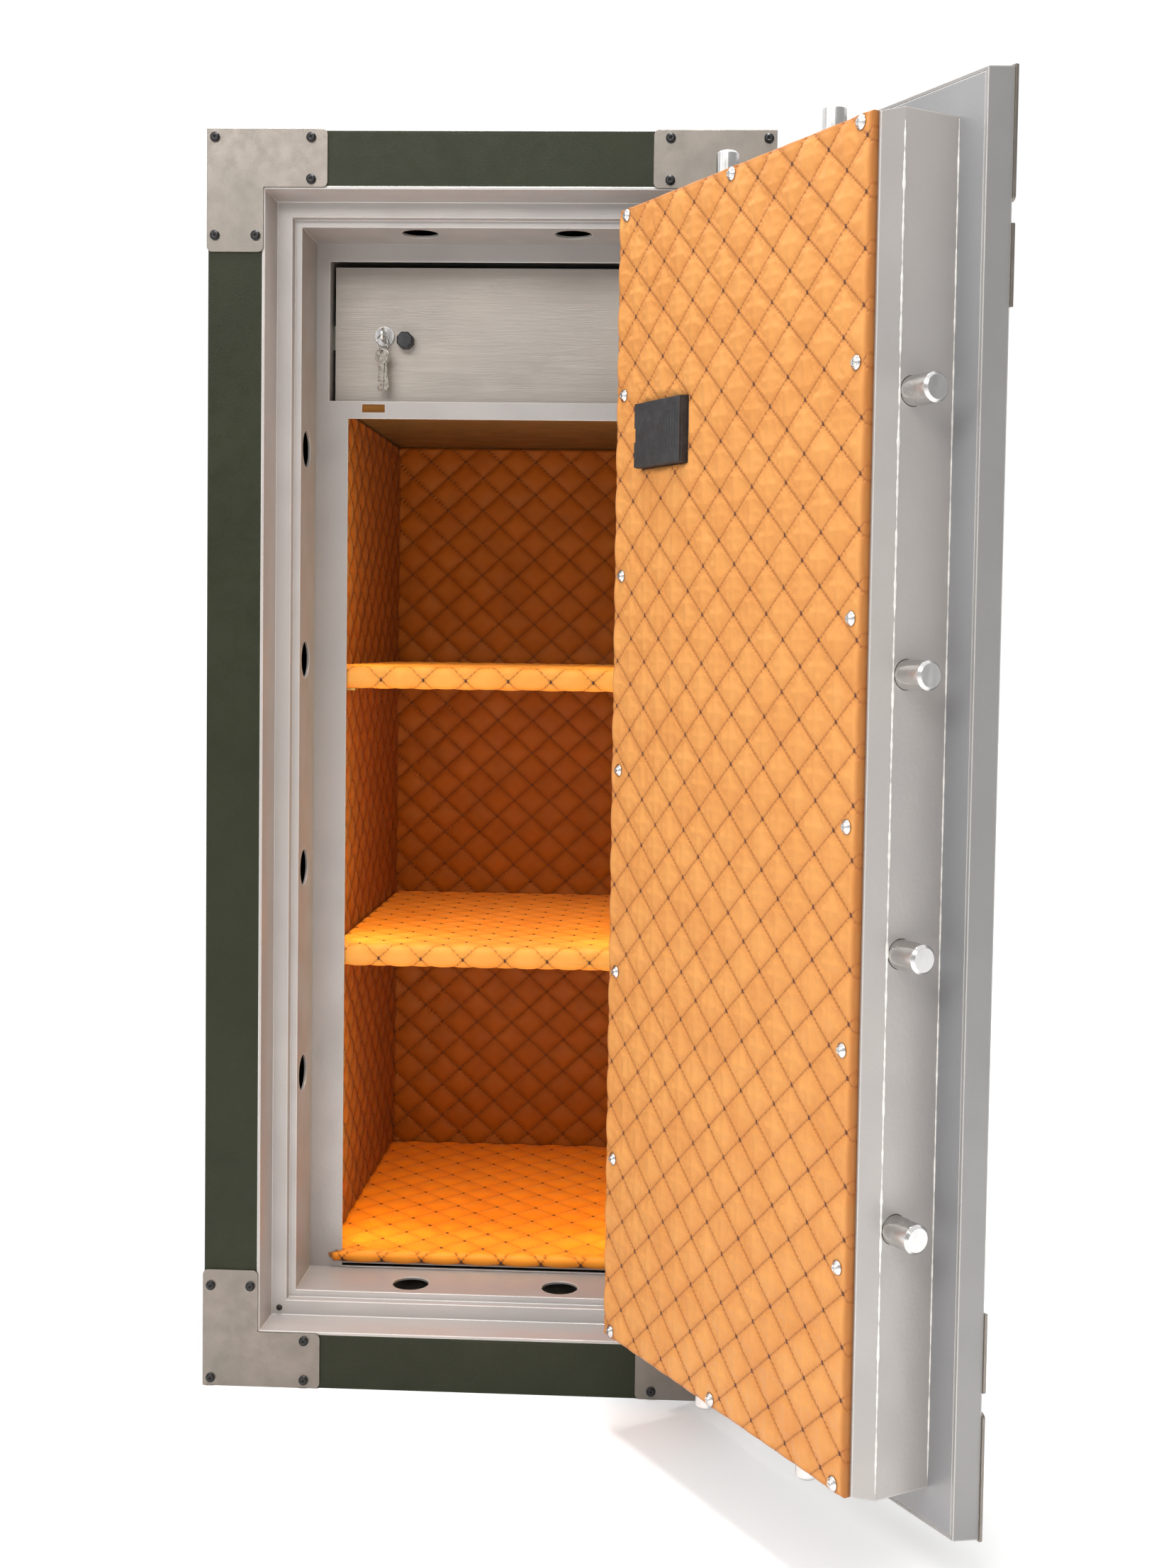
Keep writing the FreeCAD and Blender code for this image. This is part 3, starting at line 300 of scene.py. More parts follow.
def lockbox_steel():
    finish = Finish("lockbox_steel", (166, 157, 148), metallic=0.45, roughness=0.36)
    finish.tint(finish.fit(finish.noise(9, 2, stretch=(0.7, 1, 1.2)), 0.2, 0.85, 0, 0.45), (140, 133, 127))
    finish.tint(finish.fit(finish.noise(120, 4, stretch=(0.06, 1, 1)), 0.3, 0.9, 0, 0.25), (190, 183, 175))
    finish.tint(finish.fit(finish.noise(380, 2, stretch=(0.02, 1, 1)), 0.3, 0.85, 0, 0.25), (136, 130, 123))
    # Painted highlight: the sharp edges are tinted near white.
    finish.tint(finish.edge(0.0014), (236, 232, 226))
    finish.rough(finish.noise(40, 2, stretch=(0.4, 1, 1)), 0.3, 0.7, 0.3, 0.46)
    return finish.relief(finish.noise(900, 2, stretch=(0.04, 1, 1)), 0.0002, 0.6)


def brushed_plate():
    finish = Finish("satin_plate", (138, 130, 122), metallic=1.0, roughness=0.4)
    finish.tint(finish.fit(finish.noise(25, 4), 0.35, 0.7, 0, 0.6), (122, 117, 110))
    finish.tint(finish.fit(finish.noise(1400, 2), 0.5, 0.7, 0, 0.5), (96, 93, 88))
    finish.edge(0.0008)
    finish.rough(finish.noise(80, 3), 0.3, 0.7, 0.34, 0.5)
    return finish.relief(finish.noise(1300, 2), 0.0002, 0.7)


def black_screws():
    finish = Finish("blackened_steel", (24, 24, 26), metallic=0.6, roughness=0.34)
    finish.tint(finish.edge(0.0005), (128, 124, 118))
    finish.rough(finish.noise(500, 3), 0.3, 0.7, 0.28, 0.5)
    return finish.relief(finish.noise(1600, 2), 0.0001, 0.5)


def bright_steel():
    finish = Finish("polished_steel", (206, 204, 202), metallic=1.0, roughness=0.2)
    finish.tint(finish.fit(finish.noise(70, 4), 0.45, 0.75, 0, 0.3), (166, 164, 164))
    finish.edge(0.0008)
    finish.rough(finish.noise(120, 2, stretch=(1, 1, 0.2)), 0.3, 0.7, 0.16, 0.28)
    return finish.relief(finish.noise(1800, 2, stretch=(1, 1, 0.1)), 0.0001, 0.05)


def zinc_steel():
    finish = Finish("zinc_plate", (176, 172, 150), metallic=1.0, roughness=0.38)
    finish.tint(finish.fit(finish.cells(60, "F1"), 0.3, 0.7, 0, 0.5), (150, 150, 140))
    finish.edge(0.0006)
    finish.rough(finish.noise(120, 3), 0.3, 0.7, 0.3, 0.5)
    return finish.relief(finish.noise(700, 2), 0.0001, 0.6)


def brass():
    finish = Finish("nickel_brass", (216, 212, 204), metallic=1.0, roughness=0.28)
    finish.tint(finish.fit(finish.noise(180, 4), 0.45, 0.7, 0, 0.4), (184, 178, 164))
    finish.edge(0.0004)
    finish.rough(finish.noise(300, 3), 0.3, 0.7, 0.2, 0.42)
    return finish.relief(finish.noise(2200, 2), 0.0001, 0.5)


def black_plastic():
    finish = Finish("moulded_black", (34, 34, 36), roughness=0.46)
    finish.tint(finish.fit(finish.noise(90, 4), 0.4, 0.7, 0, 0.4), (56, 56, 58))
    worn = finish.edge(0.0007)
    finish.tint(finish.sum("MULTIPLY", worn, 0.4), (110, 110, 112))
    finish.rough(finish.noise(260, 3), 0.3, 0.7, 0.38, 0.58)
    return finish.relief(finish.noise(2400, 2), 0.00015, 0.6)


def led_cover():
    finish = Finish("diffuser", (255, 236, 200), roughness=0.5)
    finish.shader.inputs["Emission Color"].default_value = linear((255, 214, 150))
    finish.shader.inputs["Emission Strength"].default_value = 3.0
    return finish.relief(finish.noise(400, 2), 0.0002, 0.4)


def board(name, colour, dark, stretch):
    finish = Finish(name, colour, roughness=0.75)
    finish.tint(finish.fit(finish.noise(30, 5, stretch=stretch), 0.4, 0.7, 0, 0.7), dark)
    finish.rough(finish.noise(90, 3), 0.3, 0.7, 0.66, 0.9)
    return finish.relief(finish.noise(300, 4, stretch=stretch), 0.0004, 0.7)


def keypad_glass():
    finish = Finish("dark_glass", (10, 11, 13), roughness=0.08, coat_weight=0.6)
    finish.tint(finish.fit(finish.noise(80, 3), 0.5, 0.8, 0, 0.3), (26, 27, 30))
    return finish.relief(finish.noise(40, 2), 0.0002, 0.2)


def battery_wrap():
    finish = Finish("cell_wrap", (46, 74, 66), roughness=0.35)
    finish.tint(finish.fit(finish.noise(60, 3), 0.45, 0.7, 0, 0.5), (70, 96, 84))
    return finish.relief(finish.noise(300, 2), 0.0002, 0.5)


def leatherette(name, colour, deep_tone_and_crease_shade, seam):
    """Quilted leatherette: fine grain, puckers along the sewn lines, and painted shade in the creases by the
    seams and towards the pad's edges. The lattice attribute on the mesh holds the two seam counts and the
    distance to the pad's edge."""
    finish = Finish(name, colour, roughness=0.5, specular_ior_level=0.22, sheen_weight=0.06,
                    sheen_roughness=0.4)
    lattice = finish.add("ShaderNodeAttribute", attribute_name="lattice").outputs["Vector"]
    split = finish.add("ShaderNodeSeparateXYZ")
    finish.links.new(lattice, split.inputs[0])
    off = [finish.sum("ABSOLUTE", finish.sum("SUBTRACT", split.outputs[k],
                                             finish.sum("ROUND", split.outputs[k]))) for k in range(2)]
    finish.tint(finish.fit(finish.noise(18, 4), 0.35, 0.72, 0, 0.5), deep_tone_and_crease_shade)
    finish.tint(finish.fit(finish.noise(700, 3, 0.7), 0.55, 0.78, 0, 0.35), seam)
    # Painted shade: a broad darker band towards each seam, where the pillows dip into the creases.
    near = finish.sum("MINIMUM", off[0], off[1])
    finish.tint(finish.fit(near, 0.3, 0.0, 0, 0.5), deep_tone_and_crease_shade)
    # A narrow darker line on each seam: partly the sewn line's own tone, partly painted shade in its groove.
    finish.tint(finish.fit(near, 0.05, 0.0, 0, 0.42), seam)
    # Painted shade: darker towards the pad's edges, where the cloth rolls down to its backing.
    finish.tint(finish.fit(split.outputs[2], 6 * MM, 0.0, 0, 0.55), seam)
    finish.rough(finish.noise(50, 3), 0.3, 0.7, 0.42, 0.6)
    for along, across, count in ((0, 1, 9), (1, 0, 6)):
        wave = finish.sum("SINE", finish.sum("MULTIPLY", split.outputs[along], count * math.tau))
        finish.relief(finish.sum("MULTIPLY", wave, finish.fit(off[across], 0.1, 0.0)), 0.0006, 0.7)
    finish.relief(finish.noise(1100, 3, 0.6), 0.00022, 0.6)
    return finish


def thread(name, colour):
    finish = Finish(name, colour, roughness=0.7)
    finish.tint(finish.fit(finish.noise(1500, 2), 0.4, 0.7, 0, 0.6), tuple(c * 0.6 for c in colour))
    return finish.relief(finish.noise(2600, 2), 0.0002, 0.8)


def dress_parts():
    """Gives every CAD node its finish, by its material slot in the record."""
    grain = (1, 0.12, 1)
    finishes = {
        "body_paint": painted_steel(), "hammered_paint": hammered_paint(), "brushed_plate": brushed_plate(),
        "black_screws": black_screws(), "bright_steel": bright_steel(), "zinc_steel": zinc_steel(),
        "lockbox_steel": lockbox_steel(), "black_plastic": black_plastic(), "led_cover": led_cover(),
        "keypad_glass": keypad_glass(), "key_brass": brass(), "battery_wrap": battery_wrap(),
        "fire_board": board("fire_board", (206, 200, 188), (168, 162, 150), None),
        "shelf_wood": board("chipboard", (112, 80, 52), (84, 58, 36), grain),
        "leatherette": board("pad_backing", (216, 150, 80), (180, 116, 56), None),
    }
    for node in NODES.values():
        for index, material in enumerate(node.data.materials):
            node.data.materials[index] = finishes[material.name.split(".")[0]].material
    NODES["door_front_pan"].data.materials[0] = door_paint().material
    # Painted shade: the lockbox floor gets a darker, browner copy of the hammered silver.
    shaded = hammered_paint("shaded_silver", (104, 88, 74), (90, 74, 60))
    NODES["lockbox_floor"].data.materials[0] = shaded.material
    # Painted shade: the door's back plate gets a darker copy of the hammered silver.
    plate = hammered_paint("door_plate_silver_painted_shade", (142, 142, 143), (126, 127, 129))
    NODES["door_back_plate"].data.materials[0] = plate.material


# ---------------------------------------------------------------- quilted pads

def reach(node, directions, origin):
    """How far a CAD node extends along each direction from an origin: the lows and the highs."""
    points = np.array([vertex.co for vertex in NODES[node].data.vertices]) - np.array(origin)
    along = points @ np.array(directions).T
    return along.min(0), along.max(0)


def islands(node_object):
    """The separate solids of one node, as arrays of their points."""
    mesh = node_object.data
    parent = list(range(len(mesh.vertices)))

    def root(k):
        while parent[k] != k:
            parent[k] = parent[parent[k]]
            k = parent[k]
        return k

    at_place = {}
    for vertex in mesh.vertices:
        key = tuple(round(c, 5) for c in vertex.co)
        parent[vertex.index] = root(at_place.setdefault(key, vertex.index))
    for edge in mesh.edges:
        parent[root(edge.vertices[0])] = root(edge.vertices[1])
    groups = {}
    for vertex in mesh.vertices:
        groups.setdefault(root(vertex.index), []).append(tuple(vertex.co))
    return sorted((np.array(points) for points in groups.values()), key=lambda p: tuple(p.mean(0).round(4)))


def box_of(points):
    return Vector(points.min(0)), Vector(points.max(0))


EDGE_LINES = (0.0, 0.0007, 0.0019, 0.0035)


def lines(length, knot, half, parts, closed=False):
    """Grid lines across a pad: the lattice's own, so that the seams fall on them, and some close to its
    edges. closed is for a pad that goes all round a board."""
    step = half / parts
    if closed:
        return np.arange(round(length / step)) * (length / round(length / step))
    margin = EDGE_LINES[-1] + step / 2
    first = math.ceil((margin - knot) / step)
    last = math.floor((length - margin - knot) / step)
    inner = [knot + step * k for k in range(first, last + 1)]
    return np.array([*EDGE_LINES, *inner, *[length - e for e in reversed(EDGE_LINES)]])


class Quilt:
    """The face of a padded panel, sewn to its backing along two families of diagonal seams.

    a and b run across the panel, h stands off it. knot is one crossing of the seams, half is half the
    width and height of a diamond, seam and top are the heights of the seams and of the pillows."""

    def __init__(self, size, knot, half, seam, top, wall, radius, seed, dimples=(), open_edges=(1, 1)):
        self.size, self.knot, self.half = size, knot, half
        self.seam, self.top, self.wall, self.radius = seam, top, wall, radius
        self.dimples, self.open_edges = dimples, open_edges
        self.gap = 2 * half[0] * half[1] / math.hypot(*half)
        self.chance = np.random.default_rng(seed).random((64, 64))

    def counts(self, a, b):
        u = (a - self.knot[0]) / self.half[0]
        v = (b - self.knot[1]) / self.half[1]
        return (u + v) / 2, (u - v) / 2

    def from_edge(self, a, b):
        far = np.full(np.broadcast(a, b).shape, 1.0)
        if self.open_edges[0]:
            far = np.minimum(far, np.minimum(a, self.size[0] - a))
        if self.open_edges[1]:
            far = np.minimum(far, np.minimum(b, self.size[1] - b))
        return np.maximum(far, 0)

    def height(self, a, b, fullness=1.0):
        p, q = self.counts(a, b)
        to_p, to_q = np.abs(p - np.round(p)), np.abs(q - np.round(q))
        crown = (np.sin(np.pi * to_p) * np.sin(np.pi * to_q)) ** 0.55
        lot = self.chance[np.floor(p).astype(int) % 64, np.floor(q).astype(int) % 64]
        rise = (self.top - self.seam) * (0.84 + 0.16 * lot) * fullness
        full = self.seam + rise * crown
        roll = np.sqrt(np.clip(1 - (1 - np.minimum(self.from_edge(a, b) / self.radius, 1)) ** 2, 0, 1))
        full = self.wall + (full - self.wall) * roll
        for at_a, at_b, low in self.dimples:
            away = np.hypot(a - at_a, b - at_b)
            share = np.clip((0.016 - away) / 0.0085, 0, 1)
            full = full + (low - full) * share * share * (3 - 2 * share)
        return full

    def puckers(self, a, b):
        """Small gathers of the cloth beside the seams, where the thread pulls it in."""
        p, q = self.counts(a, b)
        to_p, to_q = np.abs(p - np.round(p)) * self.gap, np.abs(q - np.round(q)) * self.gap
        drift = 0.6 * np.sin(9.7 * p + 3.1 * q)
        zigzag = 0.45 * MM * np.cos(math.tau * 7 * p + drift) * np.exp(-((to_q / (3.2 * MM)) ** 2))
        smooth = 0.14 * MM * np.cos(math.tau * 5 * q + drift) * np.exp(-((to_p / (3.0 * MM)) ** 2))
        calm = np.clip(self.from_edge(a, b) / (5 * MM), 0, 1)
        for at_a, at_b, _ in self.dimples:
            calm = calm * np.clip((np.hypot(a - at_a, b - at_b) - 9 * MM) / (8 * MM), 0, 1)
        return (zigzag + smooth) * calm


def build(name, points, quads, material, smooth=True):
    mesh = bpy.data.meshes.new(name)
    mesh.from_pydata(points.reshape(-1, 3).tolist(), [], quads.tolist())
    mesh.materials.append(material)
    piece = bpy.data.objects.new(name, mesh)
    SCENE.collection.objects.link(piece)
    if smooth:
        mesh.shade_smooth()
    return piece


def grid_quads(rows, columns, wrap=False):
    index = np.arange(rows * columns).reshape(rows, columns)
    low = index if wrap else index[:-1]
    high = np.roll(index, -1, axis=0) if wrap else index[1:]
    return np.stack([low[:, :-1], low[:, 1:], high[:, 1:], high[:, :-1]], -1).reshape(-1, 4)


PUFF_FRAMES = 20


def puff(name, points, pinned, cap):
    """Blows a sewn sheet up with cloth simulation, its seams pinned, and returns how far each point
    stands off, kept within the cap."""
    rows, columns = points.shape[:2]
    piece = build(name, points, grid_quads(rows, columns), None, smooth=False)
    group = piece.vertex_groups.new(name="sewn")
    group.add(np.flatnonzero(pinned.ravel()).tolist(), 1.0, "REPLACE")
    cloth = piece.modifiers.new("puff", "CLOTH")
    settings = cloth.settings
    settings.quality = 4
    settings.mass = 0.02
    settings.tension_stiffness = settings.compression_stiffness = 12
    settings.shear_stiffness = 4
    settings.bending_stiffness = 0.1
    settings.use_pressure = True
    settings.uniform_pressure_force = 4
    settings.shrink_min = -0.015
    settings.vertex_group_mass = "sewn"
    settings.effector_weights.gravity = 0
    cloth.collision_settings.use_collision = False
    cloth.collision_settings.use_self_collision = False
    cloth.point_cache.frame_start = 1
    cloth.point_cache.frame_end = PUFF_FRAMES
    for frame_number in range(1, PUFF_FRAMES + 1):
        SCENE.frame_set(frame_number)
    shape = piece.evaluated_get(bpy.context.evaluated_depsgraph_get()).data
    found = np.empty(rows * columns * 3)
    shape.vertices.foreach_get("co", found)
    moved = found.reshape(rows, columns, 3) - points
    SCENE.frame_set(1)
    bpy.data.objects.remove(piece)
    far = np.linalg.norm(moved, axis=-1, keepdims=True)
    return moved * np.minimum(1, cap / np.maximum(far, 1e-9))


def refine(grid):
    """Twice as many rows and columns, on a smooth curve through the ones there."""
    for axis in (0, 1):
        rows = np.moveaxis(grid, axis, 0)
        beyond = np.concatenate([2 * rows[:1] - rows[1:2], rows, 2 * rows[-1:] - rows[-2:-1]])
        middle = (9 * (beyond[1:-2] + beyond[2:-1]) - beyond[:-3] - beyond[3:]) / 16
        finer = np.empty((2 * len(rows) - 1, *rows.shape[1:]))
        finer[::2], finer[1::2] = rows, middle
        grid = np.moveaxis(finer, 0, axis)
    return grid


def mark_lattice(piece, quilt, a, b):
    p, q = quilt.counts(a, b)
    rows = np.stack([p, q, quilt.from_edge(a, b)], -1).reshape(-1, 3)
    layer = piece.data.attributes.new("lattice", "FLOAT_VECTOR", "POINT")
    layer.data.foreach_set("vector", rows.astype(np.float32).ravel())


def close_back(piece, lower):
    """Carries the sheet's rims down to its backing and closes it there."""
    mesh = bmesh.new()
    mesh.from_mesh(piece.data)
    mesh.verts.ensure_lookup_table()
    rim = [edge for edge in mesh.edges if edge.is_boundary]
    if lower:
        origin, out = lower
        made = bmesh.ops.extrude_edge_only(mesh, edges=rim)["geom"]
        for vertex in [item for item in made if isinstance(item, bmesh.types.BMVert)]:
            vertex.co -= out * (vertex.co - origin).dot(out)
        rim = [item for item in made if isinstance(item, bmesh.types.BMEdge) and item.is_boundary]
        bmesh.ops.triangle_fill(mesh, edges=rim, use_beauty=False, use_dissolve=False)
    else:
        bmesh.ops.holes_fill(mesh, edges=rim, sides=0)
    bmesh.ops.recalc_face_normals(mesh, faces=mesh.faces)
    mesh.to_mesh(piece.data)
    mesh.free()


def declare(piece, thread_piece, body, nodes):
    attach(piece, body)
    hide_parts(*nodes)
    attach(thread_piece, body)


def flat_pad(name, body, nodes, quilt, frame_of, parts, materials, sewn, cap=0.0, hole=None):
    """A quilted panel on a flat backing. frame_of is its origin corner and its three directions, cap how
    far the simulation may swell it, hole a window in it as its low and high a and its low and high b."""
    origin, across, up, out = [Vector(v) for v in frame_of]
    across_n, up_n, out_n = (np.array(v) for v in (across, up, out))

    def place(a, b, h):
        return (np.array(origin) + np.multiply.outer(a, across_n) + np.multiply.outer(b, up_n)
                + np.multiply.outer(h, out_n))

    a, b = np.meshgrid(lines(quilt.size[0], quilt.knot[0], quilt.half[0], parts),
                       lines(quilt.size[1], quilt.knot[1], quilt.half[1], parts))
    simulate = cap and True
    points = place(a, b, quilt.height(a, b, 0.62 if simulate else 1.0))
    if simulate:
        p, q = quilt.counts(a, b)
        sewn_down = np.minimum(np.abs(p - np.round(p)), np.abs(q - np.round(q))) < 0.01
        sewn_down |= quilt.from_edge(a, b) < 3.6 * MM
        for at_a, at_b, _ in quilt.dimples:
            sewn_down |= np.hypot(a - at_a, b - at_b) < 13 * MM
        points = points + puff(name, points, sewn_down, cap)
        stand = (points - np.array(origin)) @ out_n - quilt.seam
        room = quilt.top - quilt.seam
        eased = np.where(stand > 0, room * (1 - np.exp(-stand / (0.75 * room))), stand)
        points = points + np.multiply.outer(eased - stand, out_n)
    points, a, b = refine(points), refine(a), refine(b)
    points = points + np.multiply.outer(quilt.puckers(a, b), out_n)
    quads = grid_quads(*a.shape)
    if hole:
        outside = np.maximum.reduce([hole[0] - a, a - hole[1], hole[2] - b, b - hole[3], 0 * a])
        stand = (points - np.array(origin)) @ out_n
        pressed = np.minimum(stand, quilt.seam - 0.6 * MM + 0.55 * outside)
        points = points + np.multiply.outer(pressed - stand, out_n)
        centre_a, centre_b = a.ravel()[quads].mean(1), b.ravel()[quads].mean(1)
        inside = (centre_a > hole[0]) & (centre_a < hole[1]) & (centre_b > hole[2]) & (centre_b < hole[3])
        rim = np.intersect1d(quads[inside], quads[~inside])
        flat, flat_a, flat_b = points.reshape(-1, 3), a.ravel(), b.ravel()
        for sides, flat_c, way in ((hole[:2], flat_a, across_n), (hole[2:], flat_b, up_n)):
            for side in sides:
                close = rim[np.abs(flat_c[rim] - side) < 2.2 * MM]
                flat[close] += np.multiply.outer(side - flat_c[close], way)
        used = np.unique(quads[~inside])
        renumber = np.zeros(len(flat), int)
        renumber[used] = np.arange(len(used))
        quads, points, a, b = renumber[quads[~inside]], flat[used], flat_a[used], flat_b[used]
    piece = build(name, points, quads, materials[0])
    mark_lattice(piece, quilt, a, b)
    close_back(piece, (origin, out))
    thread_piece = stitch(name + "_thread", quilt, place, materials[1], sewn, hole)
    declare(piece, thread_piece, body, nodes)


def wrapped_pad(name, body, nodes, quilt, profile, left, right, parts, materials, spread=None):
    """A board wrapped all round in quilting: the profile, seen from the side, carries the cloth. spread
    gives the pad's width by depth where it isn't the same all over."""
    run, depth, level, slope = profile

    def place(a, b, h):
        turn = np.mod(b, quilt.size[1])
        y, z = np.interp(turn, run, depth), np.interp(turn, run, level)
        ny, nz = np.interp(turn, run, slope[0]), np.interp(turn, run, slope[1])
        long = np.hypot(ny, nz)
        wide = right - left if spread is None else np.interp(y, *spread)
        x = (left + right) / 2 + (a / quilt.size[0] - 0.5) * wide
        return np.stack(np.broadcast_arrays(x, y + ny / long * h, z + nz / long * h), -1)

    rows = lines(quilt.size[1], 0, quilt.half[1], parts, closed=True)
    if spread is not None:
        wanted = [b for b in run if np.abs(spread[0] - np.interp(b, run, depth)).min() < 1e-5]
        rows = np.array([b for b in rows if np.abs(b - np.array(wanted)).min() > 0.8 * MM] + wanted)
        rows.sort()
    a, b = np.meshgrid(lines(quilt.size[0], quilt.knot[0], quilt.half[0], parts), rows)
    points = place(a, b, quilt.height(a, b) + quilt.puckers(a, b))
    piece = build(name, points, grid_quads(*a.shape, wrap=True), materials[0])
    mark_lattice(piece, quilt, a, b)
    close_back(piece, None)
    thread_piece = stitch(name + "_thread", quilt, place, materials[1], (5, 6))
    declare(piece, thread_piece, body, nodes)


def ringed(stations, sides):
    """A small solid of revolution along its first axis: stations are (along, radius), pointed at both ends."""
    rings = [(x, r * math.cos(math.tau * k / sides), r * math.sin(math.tau * k / sides))
             for x, r in stations[1:-1] for k in range(sides)]
    points = np.array([(stations[0][0], 0, 0), *rings, (stations[-1][0], 0, 0)])
    last, faces = len(points) - 1, []
    for k in range(sides):
        after = (k + 1) % sides
        faces.append((0, 1 + after, 1 + k))
        for ring in range(len(stations) - 3):
            low = 1 + ring * sides
            faces.append((low + k, low + after, low + after + sides, low + k + sides))
        tail = 1 + (len(stations) - 3) * sides
        faces.append((tail + k, tail + after, last))
    return points, faces


STITCH = ringed(((-0.5, 0), (-0.3, 1), (0.3, 1), (0.5, 0)), 4)
KNOT = ringed(((-1, 0), (-0.72, 0.62), (0, 1), (0.72, 0.62), (1, 0)), 7)


def stitch(name, quilt, place, yarns, sewn, hole=None):
    """The threads in the seams: long smooth stitches (kind 0) along one family, slanted ones (kind 1) along
    the other, and a knot (kind 2) at each crossing. yarns are the materials of the stitches and the knots."""
    reach_m = int(max(quilt.size) / min(quilt.half)) + 2
    smooth_count, slant_count = sewn
    spots = []
    for m in range(-reach_m, reach_m):
        for n in range(-reach_m, reach_m):
            spots.append((m, n, 2))
            spots += [(m, n + (k + 0.5) / smooth_count, 0) for k in range(smooth_count)]
            spots += [(m + (k + 0.5) / slant_count, n, 1) for k in range(slant_count)]
    p, q, kind = np.array(spots, float).T
    a = quilt.knot[0] + quilt.half[0] * (p + q)
    b = quilt.knot[1] + quilt.half[1] * (p - q)
    edge_room = np.where(quilt.open_edges[0], np.minimum(a, quilt.size[0] - a), 1)
    edge_room = np.minimum(edge_room, np.where(quilt.open_edges[1], np.minimum(b, quilt.size[1] - b), 1))
    held = (edge_room > 1.5 * MM) & (a > 0) & (a < quilt.size[0]) & (b >= 0) & (b < quilt.size[1])
    held &= quilt.from_edge(a, b) > 0.5 * MM
    for at_a, at_b, _ in quilt.dimples:
        held &= np.hypot(a - at_a, b - at_b) > 11 * MM
    if hole:
        held &= np.maximum.reduce([hole[0] - a, a - hole[1], hole[2] - b, b - hole[3]]) > 2 * MM
    a, b, kind = a[held], b[held], kind[held]
    h = quilt.height(a, b) + 0.1 * MM
    centre = place(a, b, h)
    step = 0.5 * MM
    way_a = place(a + step, b, h) - centre
    b_after = np.minimum(b + step, quilt.size[1] - 1e-6)
    way_b = place(a, b_after, h) - place(a, b_after - step, h)
    way_a /= np.linalg.norm(way_a, axis=1, keepdims=True)
    way_b /= np.linalg.norm(way_b, axis=1, keepdims=True)
    tilt = math.atan2(quilt.half[1], quilt.half[0])
    angle = np.select([kind == 0, kind == 1], [-tilt, tilt + 0.55], math.pi / 2)
    along = np.cos(angle)[:, None] * way_a + np.sin(angle)[:, None] * way_b
    out = np.cross(way_a, way_b)
    normal = place(a, b, h + step) - centre
    out *= np.sign((out * normal).sum(1))[:, None]
    side = np.cross(out, along)
    points, faces, start = [], [], 0
    segment = math.hypot(*quilt.half)
    smooth_size = (0.92 * segment / smooth_count, 0.45 * MM, 0.4 * MM)
    slant_size, knot_size = (3.6 * MM, 0.42 * MM, 0.5 * MM), (2.7 * MM, 1.7 * MM, 1.1 * MM)
    shapes = ((STITCH, smooth_size), (STITCH, slant_size), (KNOT, knot_size))
    for which, ((shape, shape_faces), (long, wide, thick)) in enumerate(shapes):
        mine = kind == which
        block = (centre[mine][:, None] + along[mine][:, None] * shape[None, :, :1] * long
                 + side[mine][:, None] * shape[None, :, 1:2] * wide
                 + out[mine][:, None] * shape[None, :, 2:] * thick)
        points.append(block.reshape(-1, 3))
        for k in range(int(mine.sum())):
            faces += [tuple(v + start + k * len(shape) for v in face) for face in shape_faces]
        start += len(points[-1])
    mesh = bpy.data.meshes.new(name)
    mesh.from_pydata(np.concatenate(points).tolist(), [], faces)
    for yarn in yarns:
        mesh.materials.append(yarn)
    knots = int((kind == 2).sum()) * len(KNOT[1])
    dark = np.zeros(len(faces), np.int32)
    dark[len(faces) - knots:] = 1
    mesh.polygons.foreach_set("material_index", dark)
    mesh.shade_smooth()
    piece = bpy.data.objects.new(name, mesh)
    SCENE.collection.objects.link(piece)
    return piece


def wrap_profile(front, back, low, high, round_front, round_back, extra=()):
    """The closed outline of a board seen from the side, from its back lower corner along its underside:
    distance along it, depth, level and the outward slope at each point."""
    corners = [(front + round_front, low + round_front, round_front, -90, -180),
               (front + round_front, high - round_front, round_front, 180, 90),
               (back - round_back, high - round_back, round_back, 90, 0),
               (back - round_back, low + round_back, round_back, 0, -90)]
    rows = []
    for depth in sorted((y for y in extra if y > front + round_front), reverse=True):
        rows.append((depth, low, 0, -1))
    for number, (y, z, radius, start, end) in enumerate(corners):
        for share in np.linspace(0, 1, 9):
            turn = math.radians(start + (end - start) * share)
            out_y, out_z = math.cos(turn), math.sin(turn)
            rows.append((y + radius * out_y, z + radius * out_z, out_y, out_z))
        if number == 1:
            for depth in sorted(y for y in extra if y > front + round_front):
                rows.append((depth, high, 0, 1))
    rows = np.array([(back - round_back, low, 0, -1)] + rows[:-1] + [(back - round_back, low, 0, -1)])
    steps = np.hypot(*np.diff(rows[:, :2], axis=0).T)
    run = np.concatenate([[0], np.cumsum(np.maximum(steps, 1e-9))])
    return run, rows[:, 0], rows[:, 1], (rows[:, 2], rows[:, 3])


# Half the width and height of a diamond on each kind of pad
DOOR_HALF = (27.1 * MM, 23.45 * MM)
CELL_HALF = (25.1 * MM, 23.1 * MM)
SIDE_HALF = (26 * MM, 23.3 * MM)
FLOOR_HALF = (25.1 * MM, 27 * MM)


